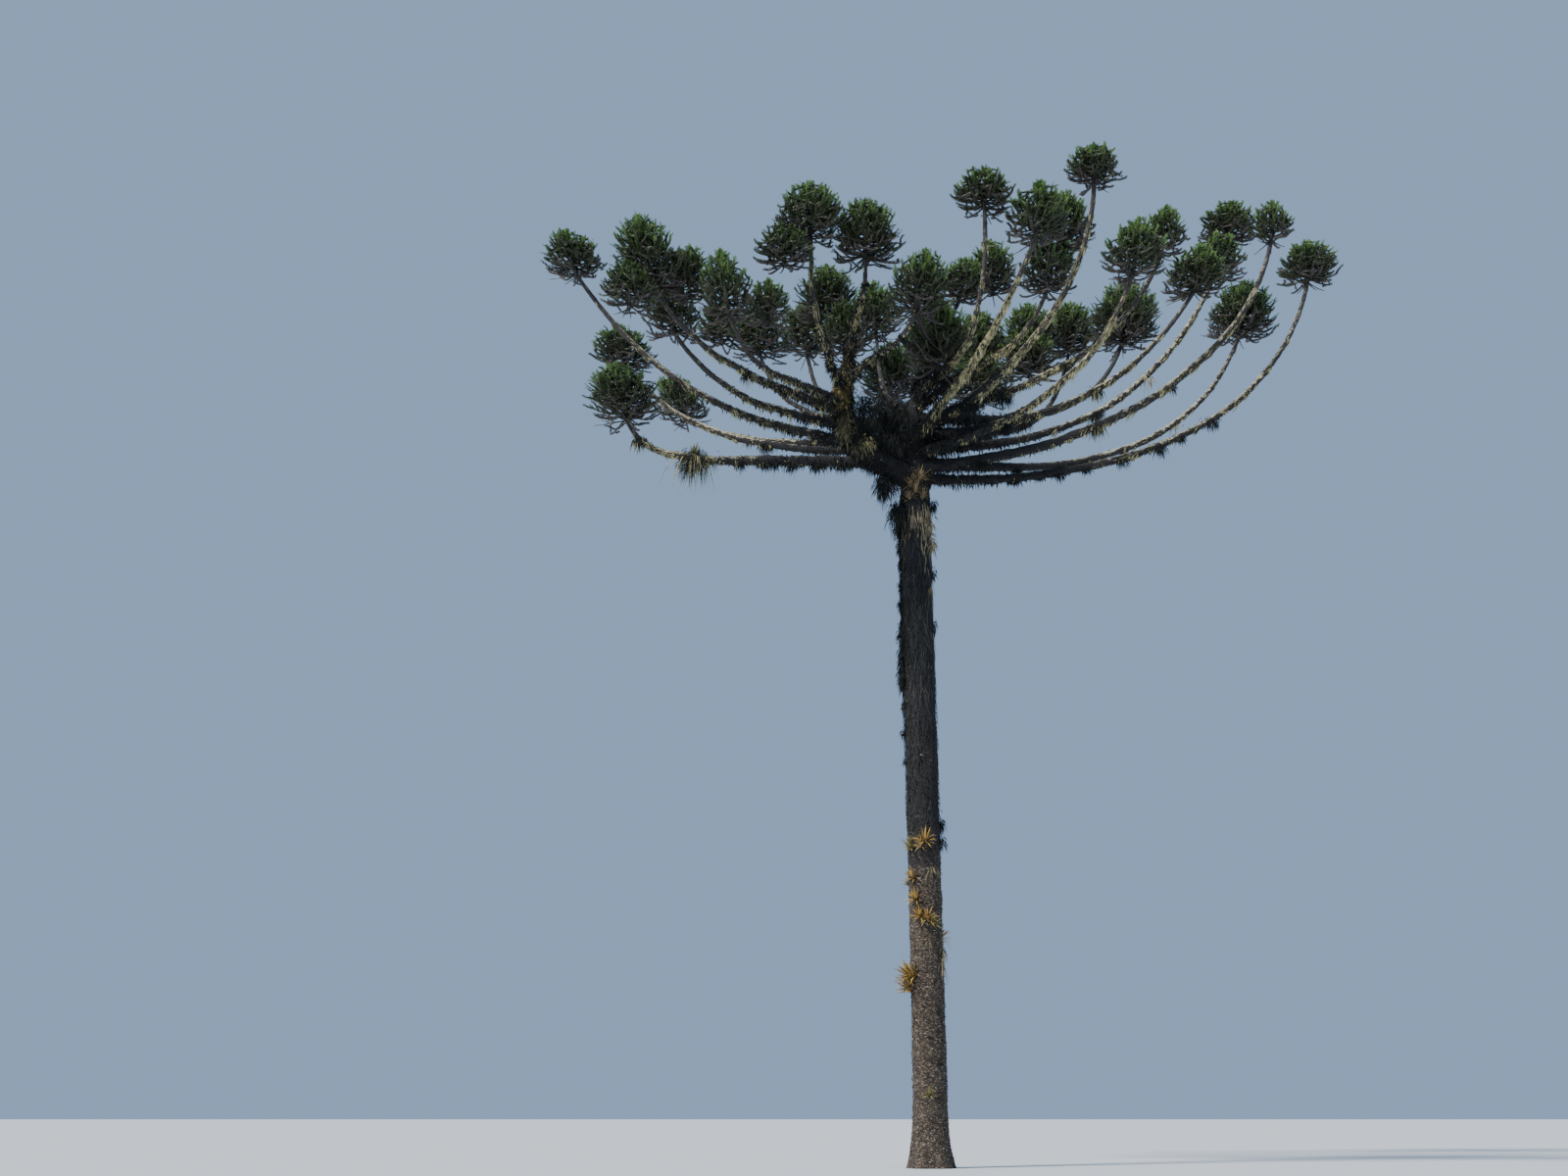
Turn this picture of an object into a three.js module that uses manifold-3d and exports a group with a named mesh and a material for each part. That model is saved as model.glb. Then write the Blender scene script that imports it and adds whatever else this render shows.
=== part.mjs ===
// A full-grown candelabra araucaria: a tall bare trunk that forks under the crown, long boughs that
// sweep out and turn up, and round heads of rope-like leafy shoots on the tip of every bough.
// Millimetres, +Z up. The origin is the middle of the flat cut under the trunk.
// Seen from the front, +X is to the right and +Y away.

import * as THREE from "three";
import { mergeVertices } from "three/addons/utils/BufferGeometryUtils.js";
import Module from "manifold-3d";

const wasm = await Module();
wasm.setup();

const BARK = new THREE.MeshStandardMaterial({ color: 0x4b3f38, roughness: 0.95, metalness: 0 });
const BOUGH_BARK = new THREE.MeshStandardMaterial({ color: 0x6a6152, roughness: 0.95, metalness: 0 });
const NEEDLES = new THREE.MeshStandardMaterial({ color: 0x33491f, roughness: 0.8, metalness: 0 });

// Every joint between two pieces of wood is left open by this much.
const JOINT_GAP = 0.3;

const TRUNK = {
  // The trunk leans a little to the left and straightens again under the crown.
  course: [
    [0, 0, -30],
    [-15, 0, 4000],
    [-60, 10, 9000],
    [-100, 0, 12600],
    [-60, 0, 14300],
    [10, 40, 15600],
    [480, 340, 16900],
    [1000, 780, 18050],
  ],
  radiusAtFoot: 330,
  radiusUnderCrown: 305,
  radiusOverCrown: 90,
  radiusAtTop: 44,
  crownFoot: 13300,
  crownHead: 16100, // above this the trunk is only its slim leading shoot
  flare: 125,
  flareHeight: 420,
  flareLobes: 5,
  lobeDepth: 0.3,
  sides: 14,
  rings: 16,
  ringCrowding: 1.35, // the rings stand closer together towards the flare
};

const FORK = {
  // The second stem, which leaves the trunk to the front left and stands up beside it.
  course: [
    [-100, -50, 13700],
    [-820, -450, 13960],
    [-1400, -760, 14360],
    [-1580, -860, 15000],
    [-1560, -850, 15500],
    [-1430, -790, 16060],
  ],
  side: [-0.48, 0.88, 0], // square to the plane that its course lies closest to
  radiusAtFoot: 225,
  radiusAtTop: 115,
  sides: 12,
  rings: 10,
};

const BOUGH = {
  tipRadius: 42,
  taperPower: 0.85,
  sides: 6,
  steps: 7,
  footSteps: 6, // steps of the two pieces of a bough that has a bend
  armSteps: 5,
  bendGap: 1.2, // the joint at a bend is cut aslant, so it is this much wider along the curve
  collar: 0.16, // how much thicker the foot is than the even taper
  collarLength: 0.05,
  launchPull: 0.45, // how far the foot's and the tip's directions carry, as shares of the span
  finishPull: 0.34,
};

// leaves: height where the bough leaves the trunk or fork.
// bearing: seen from the front, 0 is to the right and 90 away.
// reach and tip: how far out and how high its tip is.
// launch and finish: how steeply it rises at its foot and at its tip. foot: its radius there.
// bend: where a sweeping bough is in two pieces.
// width and height: its head of shoots.
// also: further heads on side arms, placed from the bough's tip.
const BOUGHS = [
  {
    name: "01", from: "trunk", leaves: 13760, bearing: 0, reach: 8380, tip: 18140,
    launch: -4, finish: 76, foot: 112, bend: 0.56, width: 1440, height: 960,
  },
  {
    name: "02", from: "trunk", leaves: 14150, bearing: 23, reach: 8300, tip: 18200,
    launch: 0, finish: 64, foot: 100, bend: 0.56, width: 1760, height: 1440,
  },
  {
    name: "03", from: "trunk", leaves: 13970, bearing: 337, reach: 7470, tip: 17740,
    launch: -2, finish: 76, foot: 104, width: 980, height: 840,
  },
  {
    name: "04", from: "trunk", leaves: 14450, bearing: 14, reach: 7370, tip: 19900,
    launch: 2, finish: 70, foot: 96, width: 1500, height: 1000,
  },
  {
    name: "05", from: "trunk", leaves: 14660, bearing: 354, reach: 5790, tip: 17600,
    launch: 3, finish: 58, foot: 92, width: 1440, height: 1100,
    also: [
      { bearing: 40, out: 1000, up: 640, width: 1240, height: 1080 },
    ],
  },
  {
    name: "06", from: "trunk", leaves: 15030, bearing: 331, reach: 5390, tip: 17520,
    launch: 4, finish: 64, foot: 86, width: 1060, height: 1080,
  },
  {
    name: "07", from: "trunk", leaves: 14300, bearing: 308, reach: 6030, tip: 16140,
    launch: -4, finish: 60, foot: 90, width: 1260, height: 1120,
  },
  {
    name: "08", from: "trunk", leaves: 14820, bearing: 307, reach: 5300, tip: 18340,
    launch: 0, finish: 84, foot: 88, width: 1220, height: 820,
  },
  {
    name: "09", from: "trunk", leaves: 14560, bearing: 287, reach: 6050, tip: 16400,
    launch: 12, finish: 34, foot: 92, width: 1260, height: 1000,
  },
  {
    name: "10", from: "trunk", leaves: 15480, bearing: 287.5, reach: 3760, tip: 18080,
    launch: 8, finish: 90, foot: 80, finishPull: 0.68, width: 1320, height: 920,
  },
  {
    name: "11", from: "fork", leaves: 15620, bearing: 265, reach: 3010, tip: 16090,
    launch: 10, finish: 40, foot: 68, width: 1380, height: 1240,
    also: [
      { bearing: 66, out: 1400, up: -620, width: 1590, height: 1600 },
    ],
  },
  {
    name: "12", from: "fork", leaves: 15900, bearing: 248, reach: 3150, tip: 17300,
    launch: 60, finish: 88, foot: 74, width: 1580, height: 1340,
  },
  {
    name: "13", from: "fork", leaves: 15400, bearing: 236, reach: 4060, tip: 17500,
    launch: 8, finish: 89, foot: 80, finishPull: 0.52, width: 1560, height: 1280,
    also: [
      { bearing: 205, out: 580, up: -620, width: 1260, height: 900 },
    ],
  },
  {
    name: "14", from: "fork", leaves: 14320, bearing: 190, reach: 7180, tip: 17740,
    launch: 6, finish: 56, foot: 96, width: 1360, height: 1020,
  },
  {
    name: "15", from: "fork", leaves: 14580, bearing: 204, reach: 5400, tip: 16000,
    launch: 5, finish: 54, foot: 86, width: 1340, height: 1240,
  },
  {
    name: "16", from: "fork", leaves: 14840, bearing: 215, reach: 6420, tip: 16320,
    launch: 8, finish: 48, foot: 94, width: 1600, height: 1460,
    also: [
      { bearing: 217, out: 620, up: -500, width: 1200, height: 1000 },
      { bearing: 30, out: 700, up: 0, width: 1100, height: 1140 },
    ],
  },
  {
    name: "17", from: "fork", leaves: 15100, bearing: 227, reach: 5580, tip: 15560,
    launch: 0, finish: 50, foot: 76, width: 1160, height: 1300,
    also: [
      { bearing: 40, out: 900, up: 140, width: 1040, height: 960 },
    ],
  },
  {
    name: "18", from: "trunk", leaves: 14420, bearing: 158, reach: 6820, tip: 17200,
    launch: 4, finish: 52, foot: 88, width: 1520, height: 1080,
  },
  {
    name: "19", from: "trunk", leaves: 14080, bearing: 176, reach: 6140, tip: 15170,
    launch: 4, finish: 62, foot: 138, bend: 0.66, launchPull: 0.74, finishPull: 0.22,
    width: 1680, height: 1300,
  },
  {
    name: "20", from: "trunk", leaves: 14680, bearing: 135.5, reach: 7140, tip: 16810,
    launch: 11, finish: 28, foot: 90, width: 1300, height: 1400,
  },
  {
    name: "21", from: "trunk", leaves: 15440, bearing: 111, reach: 6230, tip: 18820,
    launch: 2, finish: 68, foot: 90, width: 1480, height: 1460,
    also: [
      { bearing: 298, out: 960, up: 540, width: 1640, height: 1420 },
    ],
  },
  {
    name: "22", from: "trunk", leaves: 15060, bearing: 137, reach: 4560, tip: 17720,
    launch: 10, finish: 70, foot: 74, width: 1500, height: 1240,
    also: [
      { bearing: 160, out: 980, up: 400, width: 1300, height: 1060 },
    ],
  },
  {
    name: "23", from: "trunk", leaves: 14860, bearing: 99, reach: 4060, tip: 18520,
    launch: 34, finish: 80, foot: 78, width: 1340, height: 1480,
    also: [
      { bearing: 150, out: 860, up: -280, width: 1440, height: 1400 },
    ],
  },
  {
    name: "24", from: "trunk", leaves: 14300, bearing: 82, reach: 6670, tip: 18680,
    launch: 22, finish: 68, foot: 90, width: 2000, height: 1700,
    also: [
      { bearing: 205, out: 1240, up: -880, width: 1590, height: 1440 },
      { bearing: 330, out: 1240, up: -180, width: 1500, height: 1540 },
      { bearing: 318, out: 1300, up: -1150, width: 1700, height: 1340 },
    ],
  },
  {
    name: "25", from: "trunk", leaves: 15060, bearing: 41, reach: 6840, tip: 18500,
    launch: 14, finish: 62, foot: 88, width: 1960, height: 1760,
  },
  {
    name: "26", from: "trunk", leaves: 14780, bearing: 56, reach: 7470, tip: 18980,
    launch: 16, finish: 68, foot: 94, width: 1680, height: 1440,
    also: [
      { bearing: 210, out: 1190, up: -360, width: 1540, height: 1440 },
      { bearing: 218, out: 1420, up: -920, width: 1600, height: 1260 },
    ],
  },
  {
    name: "27", from: "trunk", leaves: 15240, bearing: 308, reach: 3800, tip: 16560,
    launch: 22, finish: 58, foot: 78, width: 1260, height: 1340,
    also: [
      { bearing: 330, out: 420, up: 860, width: 1380, height: 1240 },
    ],
  },
];

// The trunk's own tip carries a mass of foliage too.
const LEADER = {
  name: "28",
  width: 1260,
  height: 1080,
  also: [{ bearing: 36, out: 1000, up: 400, width: 1340, height: 1300 }],
};

const HEAD = {
  stemShare: 0.62, // how far the stem runs up into its head
  stemRadius: 36,
  stemTaper: 0.7,
  stemBend: 0.45, // how far the stem follows the bough before it turns up
  armRadius: 34,
  armRoot: 0.12, // how far up the main head the arm of a further head leaves its stem
  armBend: 0.7, // how far out the arm turns up, and how much of its fall it takes by then
  armFall: 0.8,
  armEnd: 0.5,
  armSides: 5,
  armSteps: 4,
  lean: 0.4, // how much a head leans the way its bough ends
  coreRise: 0.45, // height of the head's middle above the bough's tip, as a share of its height
  coreShare: 0.76, // the dense middle, as a share of the head's half width
  coreFoot: 0.16, // bottom and top of the dense middle, as shares of the head's height
  coreTop: 0.88,
  coreRoughness: 0.1,
  coreGap: 40,
  coreSeed: 71,
  lowestTip: 0, // heights at which the lowest and the highest shoots end
  highestTip: 1,
  widest: 0.22, // height at which the head is widest
  footWidth: 0.9, // width at the lowest tips, as a share of the full width
  domePower: 0.45,
  shootsPerMetre: 7.2, // shoots on a head a metre wide
  shootRadius: 36,
  shootEnds: 0.8, // thickness at the ends and the swell between them, as shares of it
  shootSwell: 0.35,
  shootSides: 3,
  smallestShoot: 0.88, // reach of the shortest and the longest shoots
  largestShoot: 1.04,
  agePower: 0.8, // below 1, more of the shoots end high
  turnSpread: 0.5,
  firstRoot: 0.06, // heights at which the lowest and the highest shoots leave the stem
  lastRoot: 0.558,
  bendOut: 0.58, // where a shoot turns up, out from the stem and up from its root
  bendRise: 0.2,
  bendSag: 0.05,
  lowAge: 0.45, // the older shoots spread level from the stem itself
  lowRoot: 0.02, // a shoot starts this far along its own curve: a low one in the stem,
  highRoot: 0.25, // a high one in the dense middle
  neighbourhood: 3500, // heads further away than this can't meet
  watchedFrom: 0.3, // from this far along, a shoot must be clear of everything else
  clear: 24, // least distance between a shoot and anything that is not its own head
};

const GOLDEN_TURN = 2.399963;
const UP = new THREE.Vector3(0, 0, 1);

/** A repeatable stream of numbers from 0 to 1. */
function seeded(seed) {
  let state = seed;
  return () => (state = (state * 16807) % 2147483647) / 2147483647;
}

const radians = THREE.MathUtils.degToRad;
const mix = THREE.MathUtils.lerp;

/** A unit direction from a bearing round the tree and a rise above level, both in degrees. */
function direction(bearing, rise) {
  const level = Math.cos(radians(rise));
  return new THREE.Vector3(
    level * Math.cos(radians(bearing)),
    level * Math.sin(radians(bearing)),
    Math.sin(radians(rise)),
  );
}

/** A solid from a closed geometry. */
function solidOf(geometry) {
  geometry.deleteAttribute("normal");
  geometry.deleteAttribute("uv");
  const merged = mergeVertices(geometry, 1e-3);
  return new wasm.Manifold(
    new wasm.Mesh({
      numProp: 3,
      vertProperties: merged.getAttribute("position").array,
      triVerts: new Uint32Array(merged.index.array),
    }),
  );
}

/** The largest body of a solid; cutting can leave loose scraps beside it. */
function largestBody(solid) {
  return solid.decompose().reduce((a, b) => (b.volume() > a.volume() ? b : a));
}

/** A named mesh of a finished solid. */
function meshOf(name, solid, material) {
  const made = solid.getMesh();
  const geometry = new THREE.BufferGeometry()
    .setAttribute("position", new THREE.BufferAttribute(new Float32Array(made.vertProperties), 3))
    .setIndex(new THREE.BufferAttribute(new Uint32Array(made.triVerts), 1));
  geometry.computeVertexNormals();
  const mesh = new THREE.Mesh(geometry, material);
  mesh.name = name;
  return mesh;
}

/**
 * Lays a unit cylinder or cone along a curve that lies in one plane. side is the direction square to
 * that plane. radiusAt gives the radius from the place along the curve and the angle round it.
 */
function layAlong(unit, curve, side, radiusAt, start = 0, end = 1) {
  const position = unit.getAttribute("position");
  const across = new THREE.Vector3();
  const out = new THREE.Vector3();
  const place = new THREE.Vector3();
  for (let i = 0; i < position.count; i++) {
    const x = position.getX(i);
    const z = position.getZ(i);
    const t = mix(start, end, THREE.MathUtils.clamp(position.getY(i) + 0.5, 0, 1));
    const tangent = curve.getTangent(t);
    across.copy(side).addScaledVector(tangent, -side.dot(tangent)).normalize();
    out.crossVectors(across, tangent);
    const radius = radiusAt(t, Math.atan2(z, x));
    curve.getPoint(t, place).addScaledVector(across, x * radius).addScaledVector(out, z * radius);
    position.setXYZ(i, place.x, place.y, place.z);
  }
  return solidOf(unit);
}

const vectors = (course) => course.map(([x, y, z]) => new THREE.Vector3(x, y, z));
const trunkCourse = new THREE.CatmullRomCurve3(vectors(TRUNK.course));
const forkCourse = new THREE.CatmullRomCurve3(vectors(FORK.course));

/** The trunk's radius at a height, with its flare and shallow root lobes near the ground. */
function trunkRadius(height, angle) {
  const share = THREE.MathUtils.inverseLerp;
  const { crownFoot, crownHead, course } = TRUNK;
  const shaft =
    height < crownFoot
      ? mix(TRUNK.radiusAtFoot, TRUNK.radiusUnderCrown, share(0, crownFoot, height))
      : height < crownHead
        ? mix(TRUNK.radiusUnderCrown, TRUNK.radiusOverCrown, share(crownFoot, crownHead, height))
        : mix(TRUNK.radiusOverCrown, TRUNK.radiusAtTop, share(crownHead, course.at(-1)[2], height));
  const flare = TRUNK.flare * Math.exp(-height / TRUNK.flareHeight);
  return shaft + flare * (1 + TRUNK.lobeDepth * Math.cos(TRUNK.flareLobes * angle));
}

/** The trunk and its fork as one solid, grown by the given amount and cut flat at the ground. */
function forkedTrunk(grown) {
  const stacked = new THREE.CylinderGeometry(1, 1, 1, TRUNK.sides, TRUNK.rings);
  const position = stacked.getAttribute("position");
  for (let i = 0; i < position.count; i++) {
    position.setY(i, Math.pow(position.getY(i) + 0.5, TRUNK.ringCrowding) - 0.5);
  }
  const shaft = layAlong(
    stacked, trunkCourse, new THREE.Vector3(0, 1, 0),
    (t, angle) => trunkRadius(trunkCourse.getPoint(t).z, angle) + grown,
  );
  const fork = layAlong(
    new THREE.CylinderGeometry(1, 1, 1, FORK.sides, FORK.rings),
    forkCourse,
    new THREE.Vector3(...FORK.side),
    (t) => mix(FORK.radiusAtFoot, FORK.radiusAtTop, t) + grown,
  );
  const wood = shaft.add(fork);
  return wood.add(wood.translate([0, 0, grown])).trimByPlane([0, 0, 1], 0);
}

/** The point on the trunk's or the fork's own line at a height. */
function onCarrier(carrier, height) {
  const course = carrier === "fork" ? forkCourse : trunkCourse;
  let low = 0;
  let high = 1;
  for (let i = 0; i < 40; i++) {
    const middle = (low + high) / 2;
    if (course.getPoint(middle).z < height) low = middle;
    else high = middle;
  }
  return course.getPoint(low);
}

/** The curve that a bough follows, from inside its carrier to its tip. */
function boughCurve(bough) {
  const foot = onCarrier(bough.from, bough.leaves);
  const tip = direction(bough.bearing, 0).multiplyScalar(bough.reach).setZ(bough.tip);
  const chord = foot.distanceTo(tip);
  const bearing = THREE.MathUtils.radToDeg(Math.atan2(tip.y - foot.y, tip.x - foot.x));
  const { launchPull, finishPull } = { ...BOUGH, ...bough };
  const launch = direction(bearing, bough.launch).multiplyScalar(chord * launchPull);
  const finish = direction(bearing, bough.finish).multiplyScalar(chord * finishPull);
  const curve = new THREE.CubicBezierCurve3(foot, foot.clone().add(launch), tip.clone().sub(finish), tip);
  return { curve, side: direction(bearing + 90, 0) };
}

/** A bough's radius: an even taper with a low collar at its foot. */
function boughRadius(bough, t) {
  const taper = mix(bough.foot, BOUGH.tipRadius, Math.pow(t, BOUGH.taperPower));
  return taper * (1 + BOUGH.collar * Math.exp(-t / BOUGH.collarLength));
}

/** The pieces of one bough: one, or a foot and an arm where it sweeps round a wide gap. */
function boughSolids(bough, grownTrunk) {
  const { curve, side } = bough.course;
  const piece = (start, end, steps) =>
    layAlong(
      new THREE.CylinderGeometry(1, 1, 1, BOUGH.sides, steps),
      curve, side, (t) => boughRadius(bough, t), start, end,
    );
  if (!bough.bend) {
    return [[`bough_${bough.name}`, largestBody(piece(0, 1, BOUGH.steps).subtract(grownTrunk))]];
  }
  const step = 0.001;
  const speed = curve.getPoint(bough.bend + step).distanceTo(curve.getPoint(bough.bend)) / step;
  const gap = (BOUGH.bendGap * JOINT_GAP) / speed;
  const foot = piece(0, bough.bend, BOUGH.footSteps).subtract(grownTrunk);
  return [
    [`bough_${bough.name}_foot`, largestBody(foot)],
    [`bough_${bough.name}_arm`, piece(bough.bend + gap, 1, BOUGH.armSteps)],
  ];
}

/** Where each head of one mass stands, from the tip that carries it. */
function massHeads(mass, tip, along) {
  const base = tip.clone().addScaledVector(along, JOINT_GAP);
  const main = { base, along, width: mass.width, height: mass.height, root: null };
  const others = (mass.also ?? []).map((arm) => ({
    base: base.clone().add(direction(arm.bearing, 0).multiplyScalar(arm.out)).setZ(base.z + arm.up),
    along: UP,
    width: arm.width,
    height: arm.height,
    root: base.clone().addScaledVector(along, HEAD.armRoot * mass.height),
  }));
  return [main, ...others].map((head) => {
    // A head leans a little the way its bough ends. The lean is given per unit of height.
    const lean = new THREE.Vector3().lerpVectors(UP, head.along, HEAD.lean);
    lean.divideScalar(lean.z);
    return {
      ...head,
      lean,
      radius: head.width / 2,
      middle: head.base.clone().addScaledVector(lean, HEAD.coreRise * head.height),
    };
  });
}

/** The stem inside a head, which leaves along the bough and turns up. */
function stemCurve(head) {
  const length = HEAD.stemShare * head.height;
  const bendPoint = head.base.clone().addScaledVector(head.along, length * HEAD.stemBend);
  const top = head.base.clone().addScaledVector(head.lean, length);
  return new THREE.QuadraticBezierCurve3(head.base, bendPoint, top);
}

/** The arm that carries a further head: out level from the stem, then up. */
function armCurve(head) {
  const over = head.base.clone().sub(head.root);
  const outward = over.clone().setZ(0);
  const bendPoint = head.root.clone()
    .addScaledVector(outward, HEAD.armBend)
    .addScaledVector(UP, Math.min(0, over.z) * HEAD.armFall);
  const end = head.base.clone().addScaledVector(UP, HEAD.armEnd * head.height);
  return new THREE.QuadraticBezierCurve3(head.root, bendPoint, end);
}

/** A level direction square to a curve's plane, or any level one where the curve stands upright. */
function sideOf(curve) {
  const run = curve.getPoint(1).sub(curve.getPoint(0)).setZ(0);
  if (run.length() < 1) return new THREE.Vector3(0, 1, 0);
  return new THREE.Vector3(-run.y, run.x, 0).normalize();
}

/**
 * A head's half width at a height above its base, both as shares of the full size: a dome over a
 * flatter underside.
 */
function headProfile(rise) {
  if (rise < HEAD.widest) return mix(HEAD.footWidth, 1, Math.max(0, rise) / HEAD.widest);
  const over = (rise - HEAD.widest) / (1 - HEAD.widest);
  return Math.pow(Math.max(0, 1 - over * over), HEAD.domePower);
}

/**
 * The curves of a head's shoots. They leave the stem nearly level, turn up, and end on the head's
 * outline, the lowest and oldest first. The golden turn spreads them evenly over the head.
 */
function shootCurves(head, seed) {
  const random = seeded(seed);
  const count = Math.round((HEAD.shootsPerMetre * head.width) / 1000);
  const shoots = [];
  for (let i = 0; i < count; i++) {
    const age = (i + 0.5) / count;
    const turn = i * GOLDEN_TURN + seed + HEAD.turnSpread * (random() - 0.5);
    const size = mix(HEAD.smallestShoot, HEAD.largestShoot, random());
    const outward = new THREE.Vector3(Math.cos(turn), Math.sin(turn), 0);
    const tipRise = mix(HEAD.lowestTip, HEAD.highestTip * size, Math.pow(age, HEAD.agePower));
    const tipOut = head.radius * size * headProfile(tipRise);
    const rootRise = mix(HEAD.firstRoot, HEAD.lastRoot, age);
    const bendRise = mix(rootRise, tipRise, HEAD.bendRise) - HEAD.bendSag;
    const at = (out, rise) => head.base.clone()
      .addScaledVector(outward, out)
      .addScaledVector(head.lean, rise * head.height);
    const bendPoint = at(tipOut * HEAD.bendOut, bendRise);
    const curve = new THREE.QuadraticBezierCurve3(at(0, rootRise), bendPoint, at(tipOut, tipRise));
    const side = new THREE.Vector3(-outward.y, outward.x, 0);
    shoots.push({ curve, side, low: age < HEAD.lowAge });
  }
  return shoots;
}

/** A shoot's radius along its run: full in the middle and a little slimmer at both ends. */
function shootRadius(t) {
  return HEAD.shootRadius * (HEAD.shootEnds + HEAD.shootSwell * Math.sin(Math.PI * t));
}

/** Points down the middle of a curve, each with the radius of the wood there. */
function samples(curve, radiusAt, count, owner) {
  return Array.from({ length: count + 1 }, (_, i) => ({
    point: curve.getPoint(i / count), radius: radiusAt(i / count), owner,
  }));
}

/** Whether a shoot keeps to its own head's space and touches no limb. */
function isClear(shoot, head, heads, wood) {
  for (let t = HEAD.watchedFrom; t <= 1.001; t += 0.1) {
    const point = shoot.curve.getPoint(Math.min(t, 1));
    const own = point.distanceTo(head.middle) / head.radius;
    for (const other of heads) {
      if (other === head) continue;
      if (other.middle.distanceTo(head.middle) > HEAD.neighbourhood) continue;
      const share = point.distanceTo(other.middle) / other.radius - own;
      const across = (share * other.radius * head.radius) / (other.radius + head.radius);
      if (across < HEAD.shootRadius + HEAD.clear) return false;
    }
    for (const { point: centre, radius, owner } of wood) {
      const limit = radius + HEAD.shootRadius + HEAD.clear;
      if (owner !== head && point.distanceToSquared(centre) < limit * limit) return false;
    }
  }
  return true;
}

/** The dense middle of a head: a lumpy dome, held back from its neighbours. */
function coreSolid(head, heads, seed) {
  const random = seeded(seed + HEAD.coreSeed);
  const room = heads
    .filter((other) => other !== head)
    .map((other) => {
      const apart = other.middle.distanceTo(head.middle) - HEAD.coreGap;
      return apart / (head.radius + other.radius);
    });
  const share = Math.min(HEAD.coreShare, ...room);
  const ball = new THREE.IcosahedronGeometry(1, 1);
  ball.deleteAttribute("normal");
  ball.deleteAttribute("uv");
  const lump = mergeVertices(ball, 1e-3);
  const position = lump.getAttribute("position");
  const halfWidth = head.radius * share;
  const halfHeight = ((HEAD.coreTop - HEAD.coreFoot) / 2) * (share / HEAD.coreShare);
  const centreRise = (HEAD.coreTop + HEAD.coreFoot) / 2;
  for (let i = 0; i < position.count; i++) {
    const rough = 1 - HEAD.coreRoughness * random();
    const place = new THREE.Vector3().fromBufferAttribute(position, i).multiplyScalar(rough);
    const rise = (centreRise + place.z * halfHeight) * head.height;
    const at = head.base.clone().addScaledVector(head.lean, rise);
    position.setXYZ(i, at.x + place.x * halfWidth, at.y + place.y * halfWidth, at.z);
  }
  return solidOf(lump);
}

/** One mass of foliage: its heads fused on one branching stem and cut clear of other wood. */
function massSolid(mass, side, index, heads, wood, grownLimbs) {
  const pieces = [];
  mass.heads.forEach((head, place) => {
    const seed = 100 * (index + 1) + 7 * place;
    if (head.root) {
      const arm = armCurve(head);
      const rod = new THREE.CylinderGeometry(1, 1, 1, HEAD.armSides, HEAD.armSteps);
      pieces.push(layAlong(rod, arm, sideOf(arm), () => HEAD.armRadius));
    } else {
      const rod = new THREE.CylinderGeometry(1, 1, 1, BOUGH.sides, 2);
      const taper = (t) => mix(BOUGH.tipRadius, HEAD.stemRadius * HEAD.stemTaper, t);
      pieces.push(layAlong(rod, stemCurve(head), side, taper));
    }
    let core = coreSolid(head, heads, seed);
    const reach = core.boundingBox();
    for (const limb of grownLimbs) {
      const box = limb.boundingBox();
      const apart = [0, 1, 2].some((k) => box.min[k] > reach.max[k] || box.max[k] < reach.min[k]);
      if (!apart) core = core.subtract(limb);
    }
    pieces.push(largestBody(core));
    for (const shoot of shootCurves(head, seed)) {
      if (!isClear(shoot, head, heads, wood)) continue;
      const cone = new THREE.ConeGeometry(1, 1, HEAD.shootSides, shoot.low ? 3 : 2);
      const root = shoot.low ? HEAD.lowRoot : HEAD.highRoot;
      pieces.push(layAlong(cone, shoot.curve, shoot.side, shootRadius, root, 1));
    }
  });
  return largestBody(wasm.Manifold.union(pieces));
}

const tree = new THREE.Group();
tree.add(meshOf("trunk", forkedTrunk(0), BARK));

const grownTrunk = forkedTrunk(JOINT_GAP);
for (const bough of BOUGHS) {
  bough.course = boughCurve(bough);
  bough.heads = massHeads(bough, bough.course.curve.getPoint(1), bough.course.curve.getTangent(1));
}
const lastOfTrunk = trunkCourse.getPoint(1);
LEADER.heads = massHeads(LEADER, lastOfTrunk, trunkCourse.getTangent(1));
const masses = [...BOUGHS, LEADER];
const heads = masses.flatMap((mass) => mass.heads);

// All the wood that a shoot must miss. A head's own stem or arm doesn't count.
const wood = [
  ...samples(trunkCourse, (t) => trunkRadius(trunkCourse.getPoint(t).z, 0), 80, null),
  ...samples(forkCourse, (t) => mix(FORK.radiusAtFoot, FORK.radiusAtTop, t), 30, null),
];
for (const bough of BOUGHS) {
  wood.push(...samples(bough.course.curve, (t) => boughRadius(bough, t), 70, null));
}
for (const head of heads) {
  wood.push(...samples(stemCurve(head), () => HEAD.stemRadius, 6, head));
  if (head.root) wood.push(...samples(armCurve(head), () => HEAD.armRadius, 12, head));
}

const grownLimbs = [forkedTrunk(HEAD.clear)];
for (const bough of BOUGHS) {
  for (const [name, solid] of boughSolids(bough, grownTrunk)) {
    tree.add(meshOf(name, solid, BOUGH_BARK));
  }
  const rod = new THREE.CylinderGeometry(1, 1, 1, BOUGH.sides, BOUGH.steps);
  const radiusAt = (t) => boughRadius(bough, t) + HEAD.clear;
  grownLimbs.push(layAlong(rod, bough.course.curve, bough.course.side, radiusAt));
}
masses.forEach((mass, index) => {
  const side = mass.course ? mass.course.side : new THREE.Vector3(0, 1, 0);
  const solid = massSolid(mass, side, index, heads, wood, grownLimbs);
  tree.add(meshOf(`foliage_${mass.name}`, solid, NEEDLES));
});

export default tree;
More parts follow.
